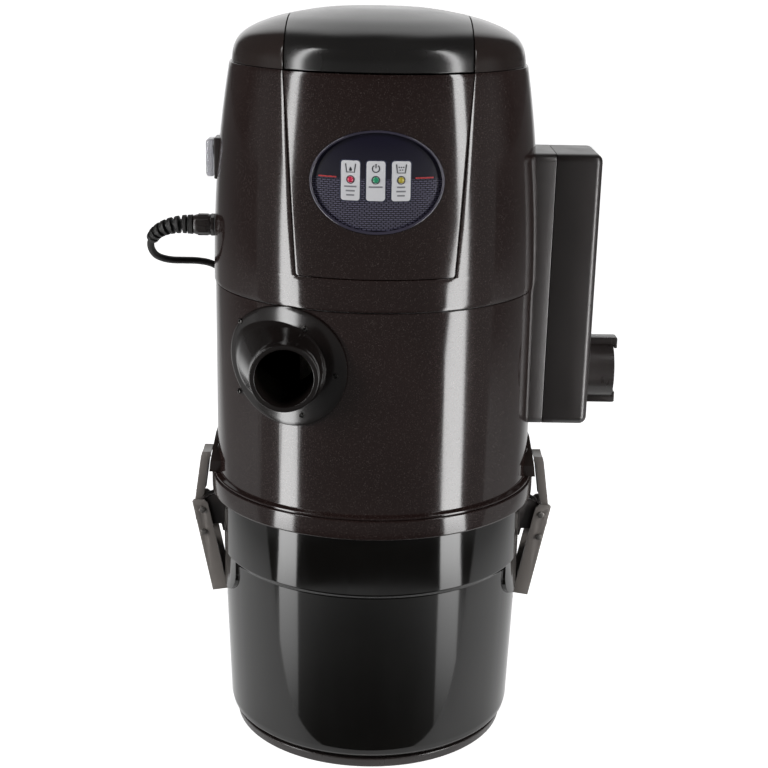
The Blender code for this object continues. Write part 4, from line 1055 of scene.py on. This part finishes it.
def make_collar():
    profile = [(COLLAR_RADIUS - 0.0008, COLLAR_TOP), (COLLAR_RADIUS, COLLAR_TOP - 0.0008),
               (COLLAR_RADIUS, COLLAR_BOTTOM + 0.0012), (COLLAR_RADIUS - 0.0010, COLLAR_BOTTOM),
               (COLLAR_RADIUS - 0.0028, COLLAR_BOTTOM), (COLLAR_RADIUS - 0.0028, COLLAR_TOP)]
    put(turned("collar_ring", soften(profile, 0.0006, 4)), "speckled_black", ["collar"])


def make_seam_shade_ring():
    """A near-black ring of painted shade in the middle seam, standing for the shadow seen between the two
    housings.
    """
    low, high = MID_SEAM - 0.0020, MID_SEAM + 0.0020
    ring = turned("middle_seam_painted_shade", [(0.1500, high), (0.1500, low), (0.1482, low), (0.1482, high)])
    put(ring, "shadow_black")


def make_inlet_port():
    """Saddle flange, flared boss and hose tube as one skin, with the bore inside."""
    x0, z0 = INLET
    saddle = LOWER_RADIUS + SADDLE_RISE

    def body_y(rho, angle, radius):
        return -math.sqrt(max(0.0, radius ** 2 - (x0 + rho * math.cos(angle)) ** 2))

    def cone_y(rho):
        return -0.1620 + 0.0620 * (rho - INLET_TUBE) / (CONE_RADIUS - INLET_TUBE)

    def cone_foot(angle):
        """Where the flared boss meets the saddle, found by halving."""
        low, high = INLET_TUBE, CONE_RADIUS
        for _ in range(24):
            middle = (low + high) / 2
            if cone_y(middle) < body_y(middle, angle, saddle):
                low = middle
            else:
                high = middle
        return high

    lip_in, lip_out = 0.0008, 0.0010
    mouth = [(INLET_BORE, -0.0950), (INLET_BORE, INLET_MOUTH_Y + lip_in)]
    mouth += [(INLET_BORE + lip_in * (1 - math.cos(t)), INLET_MOUTH_Y + lip_in * (1 - math.sin(t)))
              for t in (0.5, 1.0, 1.57)]
    mouth += [(INLET_TUBE - lip_out * (1 - math.sin(t)), INLET_MOUTH_Y + lip_out * (1 - math.cos(t)))
              for t in (0.0, 0.5, 1.0, 1.57)]
    mouth.append((INLET_TUBE, -0.1640))
    rows = []
    for k in range(144):
        angle = math.tau * k / 144
        foot = cone_foot(angle)
        boss = [INLET_TUBE + (foot - INLET_TUBE) * t for t in (0.0, 0.1, 0.25, 0.5, 0.75, 0.9)]
        flange = [foot + 0.0015 + (SADDLE_RADIUS - foot) * t for t in (0.0, 0.04, 0.10)]
        flange += [flange[-1] + (SADDLE_RADIUS - 0.0008 - flange[-1]) * t for t in (0.25, 0.5, 0.75, 1.0)]
        section = mouth + [(rho, cone_y(rho)) for rho in boss]
        section += [(rho, body_y(rho, angle, saddle)) for rho in flange]
        section.append((SADDLE_RADIUS - 0.0002, body_y(SADDLE_RADIUS, angle, saddle - 0.0003)))
        section.append((SADDLE_RADIUS, body_y(SADDLE_RADIUS, angle, saddle - 0.0009)))
        section += [(rho, body_y(rho, angle, LOWER_RADIUS + 0.0001)) for rho in (SADDLE_RADIUS, 0.0420)]
        section.append((0.0280, -0.0950))
        rows.append([(x0 + rho * math.cos(angle), y, z0 + rho * math.sin(angle)) for rho, y in section])
    port = surface("inlet_port_shell", rows, round_rows=True, round_columns=True)
    put(port, "port_black", ["inlet_port"], angle=38)
    make_inlet_screws()


INLET_SCREWS = [(-0.1206, 0.4264), (-0.0607, 0.4316), (-0.0335, 0.3918), (-0.0632, 0.3524), (-0.1224, 0.3603)]


def make_inlet_screws():
    """Five small countersunk screws round the flange."""
    heads = []
    radius = LOWER_RADIUS + SADDLE_RISE
    for x, z in INLET_SCREWS:
        heads.append(screw_head("screw", Vector((x, -math.sqrt(radius ** 2 - x ** 2), z)), 0.0026))
    put(merge_objects("inlet_screws", heads), "screw_black", angle=30)


def screw_head(name, foot, radius):
    """A pan head with a dished cross recess, facing straight out of the housing."""
    out = Vector((foot.x, foot.y, 0)).normalized()
    side, up = Vector((-out.y, out.x, 0)), Vector((0, 0, 1))
    profile = [(radius, -0.0010), (radius, 0.0003), (radius * 0.9, 0.0008), (radius * 0.62, 0.0011),
               (radius * 0.55, 0.0009), (radius * 0.30, -0.0004), (0.0001, -0.0006)]
    rings = []
    for r, h in profile:
        rings.append([])
        for k, (c, s) in enumerate(circle(32)):
            cross = 1.0 if r > radius * 0.58 else 0.62 + 0.38 * abs(math.cos(math.tau * k / 16)) ** 0.5
            rings[-1].append(foot + out * h + r * cross * (side * c + up * s))
    return surface(name, rings, round_columns=True, caps=True)


# ---------------------------------------------------------------- exhaust box and blower port
def box_outline(inset):
    return rounded_rectangle((BOX_Y[0] + inset, BOX_Z[0] + inset), (BOX_Y[1] - inset, BOX_Z[1] - inset),
                             max(0.0006, BOX_CORNER - inset), 8)


def lean(x, z):
    """The box narrows a little towards its foot, outside the seam line only."""
    share = (BOX_Z[1] - z) / (BOX_Z[1] - BOX_Z[0])
    return x - BOX_LEAN * share * (1 if x > BOX_SPLIT_X - 0.01 else 0)


def box_loft(name, levels):
    return surface(name, [[(lean(x, z), y, z) for y, z in box_outline(inset)] for x, inset in levels],
                   round_columns=True, caps=True)


def make_exhaust_box():
    base = box_loft("exhaust_box_base_shell", [(0.1100, 0.0), (BOX_SPLIT_X - 0.0006, 0.0),
                                               (BOX_SPLIT_X - 0.0002, 0.0002), (BOX_SPLIT_X, 0.0006),
                                               (BOX_SPLIT_X, WALL), (BOX_SPLIT_X - 0.004, WALL)])
    body = [(0.0001, 0.66)] + [(housing_radius(z) + GAP, z) for z in (0.60, 0.56, 0.52, 0.48)]
    body += [(WAIST_RADIUS + GAP, MID_SEAM), (LOWER_RADIUS + GAP, MID_SEAM - 0.0004),
             (LOWER_RADIUS + GAP, 0.22), (0.0001, 0.22)]
    head = turned("head solid", body, closed=False)
    boolean(base, head)
    put(base, "textured_black", ["exhaust_box_base"])
    start = BOX_SPLIT_X + GAP
    levels = [(start + 0.004, WALL), (start, WALL), (start, 0.0006), (start + 0.0002, 0.0002),
              (start + 0.0006, 0.0)]
    rounding = 0.0070
    for k in range(9):
        angle = math.pi / 2 * k / 8
        levels.append((BOX_OUT_X - rounding + rounding * math.sin(angle), rounding * (1 - math.cos(angle))))
    cover = box_loft("exhaust_box_cover_shell", levels)
    y, z = BLOWER
    boolean(cover, prism("blower hole", arc((y, z), BLOWER_RADIUS + GAP, 0, 352.5, 47), BOX_OUT_X - 0.012,
                         BOX_OUT_X + 0.01, "X"))
    put(cover, "textured_black", ["exhaust_box_cover"])


def make_blower_port():
    """The round port with its lip and two hooked bayonet tabs."""
    start, end = BOX_OUT_X - 0.0070, BLOWER_END_X
    foot = BLOWER_RADIUS + 0.004
    profile = [(foot, start), (foot, start + 0.0025), (BLOWER_RADIUS, start + 0.0025), (BLOWER_RADIUS, end),
               (BLOWER_BORE, end), (BLOWER_BORE, start)]
    pieces = [turned("tube", soften(profile, 0.0007, 4), steps=96, axis="X", centre=BLOWER)]
    y, z = BLOWER
    for side in (-1, 1):
        hook = [(BOX_OUT_X + 0.0006, 0.0262), (end + 0.0010, 0.0262), (end + 0.0012, 0.0222),
                (end + 0.0042, 0.0222), (end + 0.0042, 0.0325), (end + 0.0020, 0.0330),
                (BOX_OUT_X + 0.0006, 0.0330)]
        hook = soften([(x, z + side * rise) for x, rise in hook], 0.0010, 4)
        pieces.append(prism(f"hook {side}", hook, y - 0.0075, y + 0.0075, "Y", 0.0006))
    put(merge_objects("blower_port_shell", pieces), "satin_black", ["blower_port"])


# ---------------------------------------------------------------- switch and gland
def switch_plate(name, half_width, half_height, corner, low, high, rounding=0.0, segments=3):
    """A rounded slab in the switch's opening, standing out of the left side."""
    edge = rounded_rectangle((-half_width, SWITCH_Z - half_height), (half_width, SWITCH_Z + half_height),
                             corner)
    return prism(name, edge, low, high, "X", rounding, segments)


def make_switch():
    z = SWITCH_Z
    bezel = switch_plate("switch_bezel_frame", 0.0145, 0.0190, 0.0020, -0.1514, -0.1440, 0.0007)
    boolean(bezel, switch_plate("well", 0.0090, 0.0140, 0.0012, -0.16, -0.1385))
    put(bezel, "satin_black", ["switch_bezel"])
    shape = [(-0.1400, z - 0.0030), (-0.1400, z + 0.0030), (-0.1480, z + 0.0120), (-0.1548, z + 0.0108),
             (-0.1526, z + 0.0040), (-0.1518, z - 0.0020), (-0.1506, z - 0.0110), (-0.1480, z - 0.0120)]
    rocker = prism("rocker_button", soften(shape, 0.0010, 4), -0.0080, 0.0080, "Y", 0.0006)
    put(rocker, "satin_black", ["rocker"], body="rocker")
    boot = switch_plate("switch_boot_dome", 0.0125, 0.0175, 0.0045, -0.1592, -0.1515, 0.0028, 5)
    boolean(boot, switch_plate("boot space", 0.0115, 0.0165, 0.0038, -0.1583, -0.1400, 0.0020, 4))
    put(boot, "clear_silicone", ["switch_boot"])


def make_gland():
    """The gland's dome nut with flats, clamped against the housing by a hexagon."""
    y, z = GLAND
    dome = [(0.0040, GLAND_END_X), (0.0086, GLAND_END_X), (0.0096, GLAND_END_X + 0.0030), (0.0099, -0.1640),
            (0.0099, -0.1563), (0.0040, -0.1563)]
    pieces = [turned("dome", soften(dome, 0.0012, 4), steps=64, axis="X", centre=(y, z))]
    turns = [math.tau * k / 6 + 0.26 for k in range(6)]
    hexagon = [(y + 0.0108 * math.cos(turn), z + 0.0108 * math.sin(turn)) for turn in turns]
    pieces.append(prism("hexagon", soften(hexagon, 0.0008, 3), -0.1568, -0.1531, "X", 0.0005))
    for k, (c, s) in enumerate(circle(10)):
        grip = arc((y + 0.0097 * c, z + 0.0097 * s), 0.0008, 0, 315, 7)
        pieces.append(prism(f"grip {k}", grip, -0.1690, -0.1590, "X", 0.0003))
    put(merge_objects("cord_gland_nut", pieces), "satin_black", ["cord_gland"])


# ---------------------------------------------------------------- bucket
def side_block(name, side, outline, inside, outside):
    """An outline in y and z given thickness on one side of the bucket."""
    return prism(name, outline, *sorted((side * inside, side * outside)), "X")


def latch_lobe(side):
    """The rounded tongue that thickens the bucket below the band behind a latch."""
    low, high = LOBE_Z[0] - 0.005, LOBE_Z[1]
    section = [(LOBE_RADIUS, high), (LOBE_RADIUS, low), (0.1438, low), (0.1440, BAND_BOTTOM - 0.0020),
               (0.1466, high)]
    ring = turned("lobe ring", section)
    shape = rounded_rectangle((-LOBE_HALF, LOBE_Z[0]), (LOBE_HALF, high + 0.03), LOBE_CORNER, 16)
    return boolean(ring, side_block("lobe shape", side, shape, 0.08, 0.17), "INTERSECT")


def make_bucket():
    """The collection bucket with its rim, its band and the flat lands and tongues behind the latches."""
    rim_top = COLLAR_TOP - 0.0026
    inner_rim = RIM_RADIUS - 0.0050
    base = CUP_TOP + GAP
    outer = [(RIM_RADIUS, rim_top), (RIM_RADIUS, rim_top - 0.0060), (BAND_TOP_RADIUS, rim_top - 0.0085),
             (BAND_TOP_RADIUS, COLLAR_BOTTOM), (BAND_LOW_RADIUS, BAND_BOTTOM + 0.0020),
             (BUCKET_TOP_RADIUS, BAND_BOTTOM - 0.0010), (BUCKET_LOW_RADIUS, 0.022),
             (BUCKET_LOW_RADIUS - 0.0012, 0.0165), (BUCKET_LOW_RADIUS - 0.0050, 0.0122),
             (BUCKET_LOW_RADIUS - 0.0110, base)]
    inner = [(0.0001, base + WALL), (BUCKET_LOW_RADIUS - 0.0130, base + WALL),
             (BUCKET_LOW_RADIUS - 0.0040, 0.022), (BUCKET_TOP_RADIUS - WALL, BAND_BOTTOM - 0.0010),
             (BAND_LOW_RADIUS - WALL, BAND_BOTTOM + 0.0030), (inner_rim, rim_top - 0.0090),
             (inner_rim, rim_top)]
    profile = soften(inner + outer + [(0.0001, base)], 0.0012, 4, False)
    bucket = turned("bucket_shell", profile, closed=False)
    for side in (-1, 1):
        boolean(bucket, latch_lobe(side), "UNION")
        for step, (half, low, high) in enumerate(LAND_BACKING):
            backing = rounded_rectangle((-half, low), (half, high), 0.002, 2)
            spread = 0.0002 * step
            boolean(bucket, side_block("land backing", side, backing, 0.1385 - spread,
                                       POCKET_FLOOR + 0.0010 + spread), "UNION")
        land = rounded_rectangle((-POCKET_HALF, POCKET_Z[0]), (POCKET_HALF, POCKET_Z[1]), 0.003)
        boolean(bucket, side_block("land", side, land, POCKET_FLOOR, 0.17))
    put(bucket, "bucket_black", ["bucket"], body="bucket")
    cup = [(0.0001, 0.0030), (0.1160, 0.0030), (0.1180, CUP_TOP), (CUP_RADIUS - 0.0004, CUP_TOP),
           (CUP_RADIUS, CUP_TOP - 0.0010), (CUP_RADIUS - 0.0016, 0.0012), (CUP_RADIUS - 0.0030, 0.0),
           (0.0001, 0.0)]
    shell = turned("base_cup_shell", soften(cup, 0.0006, 4, False), closed=False)
    put(shell, "satin_black", ["base_cup"], body="bucket")


# ---------------------------------------------------------------- parts kept from the CAD
KEPT_FINISH = {m["node"]: m["material_slot"] for m in frame["record"]["subparts"]}


def keep_cad_part(node, width):
    """Gives a CAD node its finish, welds its facets and softens its edges."""
    obj = frame["nodes"][node]
    bpy.context.view_layer.objects.active = obj
    with bpy.context.temp_override(object=obj, active_object=obj):
        if obj.data.has_custom_normals:
            bpy.ops.mesh.customdata_custom_splitnormals_clear()
    obj.data.shade_smooth()
    weld = obj.modifiers.new("weld", "WELD")
    weld.merge_threshold = 0.00001
    if width:
        round_edges(obj, width, 2, 40)
    split = obj.modifiers.new("sharp edges", "EDGE_SPLIT")
    split.split_angle = math.radians(34)
    paint(obj, "pin_steel" if "_pin_" in node else KEPT_FINISH[node])


def dress_kept_parts():
    for node, obj in frame["nodes"].items():
        if obj.hide_render:
            continue
        if "pin" in node:
            width = 0.0003
        else:
            width = 0.0005 if node.startswith(("latch_", "wall_bracket")) else 0.0
        keep_cad_part(node, width)


# ---------------------------------------------------------------- studio
STRIP_DISTANCE = 0.93
STRIP_LEVELS = ((-0.60, 0.0), (-0.47, 0.07), (-0.40, 0.16), (-0.33, 0.25), (-0.27, 0.35), (-0.18, 0.57),
                (-0.02, 0.84), (0.04, 1.0))   # height, share of the full brightness
STRIP_RADIANCE = 13.4
# height, share of the way to the top place and width, degrees swung outwards, widening
STRIP_SHAPE = ((-0.60, 0.0, 8.5, 1.25), (-0.27, 0.0, 6.0, 1.2), (-0.18, 0.0, 3.8, 1.1), (0.04, 0.0, 0.0, 1.0),
               (0.30, 0.0, 0.0, 1.0), (0.46, 1.0, 0.0, 1.0), (1.60, 1.0, 0.0, 1.0))
LAMP_DISTANCE = 2.2
LAMP_HEIGHT = 1.1
LAMP_AIM_Z = 0.35
FLOOR_FRONT_Y = -0.16
LANE_HALF = 0.42             # half the lit lane's width on the floor, at the vacuum
LANE_SPREAD = 0.28           # how fast it widens behind
SURROUND_DARK = 0.05
SURROUND_BRIGHT = 1.05
# sine of the elevation, brightness of the dim room
FRONT_LEVELS = ((-0.70, 0.0), (-0.575, 0.01), (-0.565, 0.06), (-0.555, 0.11), (-0.543, 0.19), (-0.533, 0.36),
                (-0.512, 0.64), (-0.503, 0.68), (-0.496, 0.0), (-0.425, 0.0), (-0.40, 0.16), (-0.30, 0.19),
                (0.10, 0.19), (0.35, 0.04), (0.60, 0.04))


def strip_light(name, azimuth, width, top_azimuth, top_width):
    """A tall glowing panel, narrower above, seen only as a reflection."""
    rows = []
    outward = math.copysign(1.0, azimuth)
    for z, share, swing, widen in STRIP_SHAPE:
        angle = math.radians(azimuth + (top_azimuth - azimuth) * share + outward * swing)
        half = widen * (width + (top_width - width) * share) / 2
        middle = Vector((STRIP_DISTANCE * math.sin(angle), -STRIP_DISTANCE * math.cos(angle), z))
        across = Vector((math.cos(angle), math.sin(angle), 0))
        rows.append([middle - across * half, middle + across * half])
    panel = surface(name, rows)
    paint(panel, "strip_glow")
    panel.visible_camera = False
    panel.visible_diffuse = False
    panel.visible_shadow = False


def fill_lamp(name, azimuth, power):
    """A broad soft light that leaves no reflection of its own."""
    data = bpy.data.lights.new(name, "AREA")
    data.shape = "RECTANGLE"
    data.size, data.size_y = 0.8, 1.2
    data.energy = power
    lamp = link_object(name, data)
    angle = math.radians(azimuth)
    lamp.location = (LAMP_DISTANCE * math.sin(angle), -LAMP_DISTANCE * math.cos(angle), LAMP_HEIGHT)
    lamp.rotation_euler = (Vector((0, 0, LAMP_AIM_Z)) - lamp.location).to_track_quat("-Z", "Y").to_euler()
    lamp.visible_glossy = False
    lamp.visible_camera = False


def make_studio():
    """Tall strips either side, soft fill in front, and a bright sweep behind."""
    bpy.context.scene.view_settings.view_transform = "Standard"
    make_surroundings()
    half = [(0.9, FLOOR_FRONT_Y), (40.0, 1.5), (40.0, 40.0)]
    edge = [(-x, y) for x, y in reversed(half)] + half
    floor = mesh_object("floor", [(x, y, -0.0002) for x, y in edge], [tuple(range(len(edge)))])
    paint(floor, "floor_paint")
    strip_light("strip_left", -57.0, 0.225, -60.5, 0.120)
    strip_light("strip_right", 54.0, 0.245, 57.5, 0.130)
    fill_lamp("fill left", -62.0, 34)
    fill_lamp("fill right", 60.0, 30)


def make_surroundings():
    """White behind the vacuum and to the camera; a dim room with a lighter floor all round in front."""
    world = bpy.data.worlds.new("studio")
    bpy.context.scene.world = world
    n = Nodes(world, "Background", "Generated")
    x, y, z = n.parts()
    front = n.math("MULTIPLY", n.levels(z, FRONT_LEVELS), n.ramp(y, -1.0, 0.0, 1.0, 1.7, smooth=True))
    front = n.math("MULTIPLY", front, n.ramp(y, 0.0, 0.4, 1.0, 0.2, smooth=True))
    room = n.math("MAXIMUM", front, SURROUND_DARK)
    aside = n.math("DIVIDE", n.math("ABSOLUTE", x), n.math("MAXIMUM", y, 0.02))
    sweep = n.math("MULTIPLY", n.ramp(aside, 0.30, 0.62, SURROUND_BRIGHT, 0.0, smooth=True),
                   n.ramp(z, 0.80, 0.93, 1.0, 0.0, smooth=True))
    sweep = n.math("MULTIPLY", sweep, n.ramp(y, 0.10, 0.30, 0.0, 1.0, smooth=True))
    seen = n.math("MULTIPLY", n.add("ShaderNodeLightPath").outputs["Is Camera Ray"], SURROUND_BRIGHT)
    n.set(Color=(1.0, 1.0, 1.0), Strength=n.math("MAXIMUM", n.math("MAXIMUM", room, sweep), seen))


# ---------------------------------------------------------------- the whole scene
make_camera()
make_cord()
make_upper_housing()
make_front_panel()
make_display()
make_top_cover()
make_shoulder_caps()
make_lower_housing()
make_collar()
make_seam_shade_ring()
make_inlet_port()
make_exhaust_box()
make_blower_port()
make_switch()
make_gland()
make_bucket()
dress_kept_parts()
make_studio()
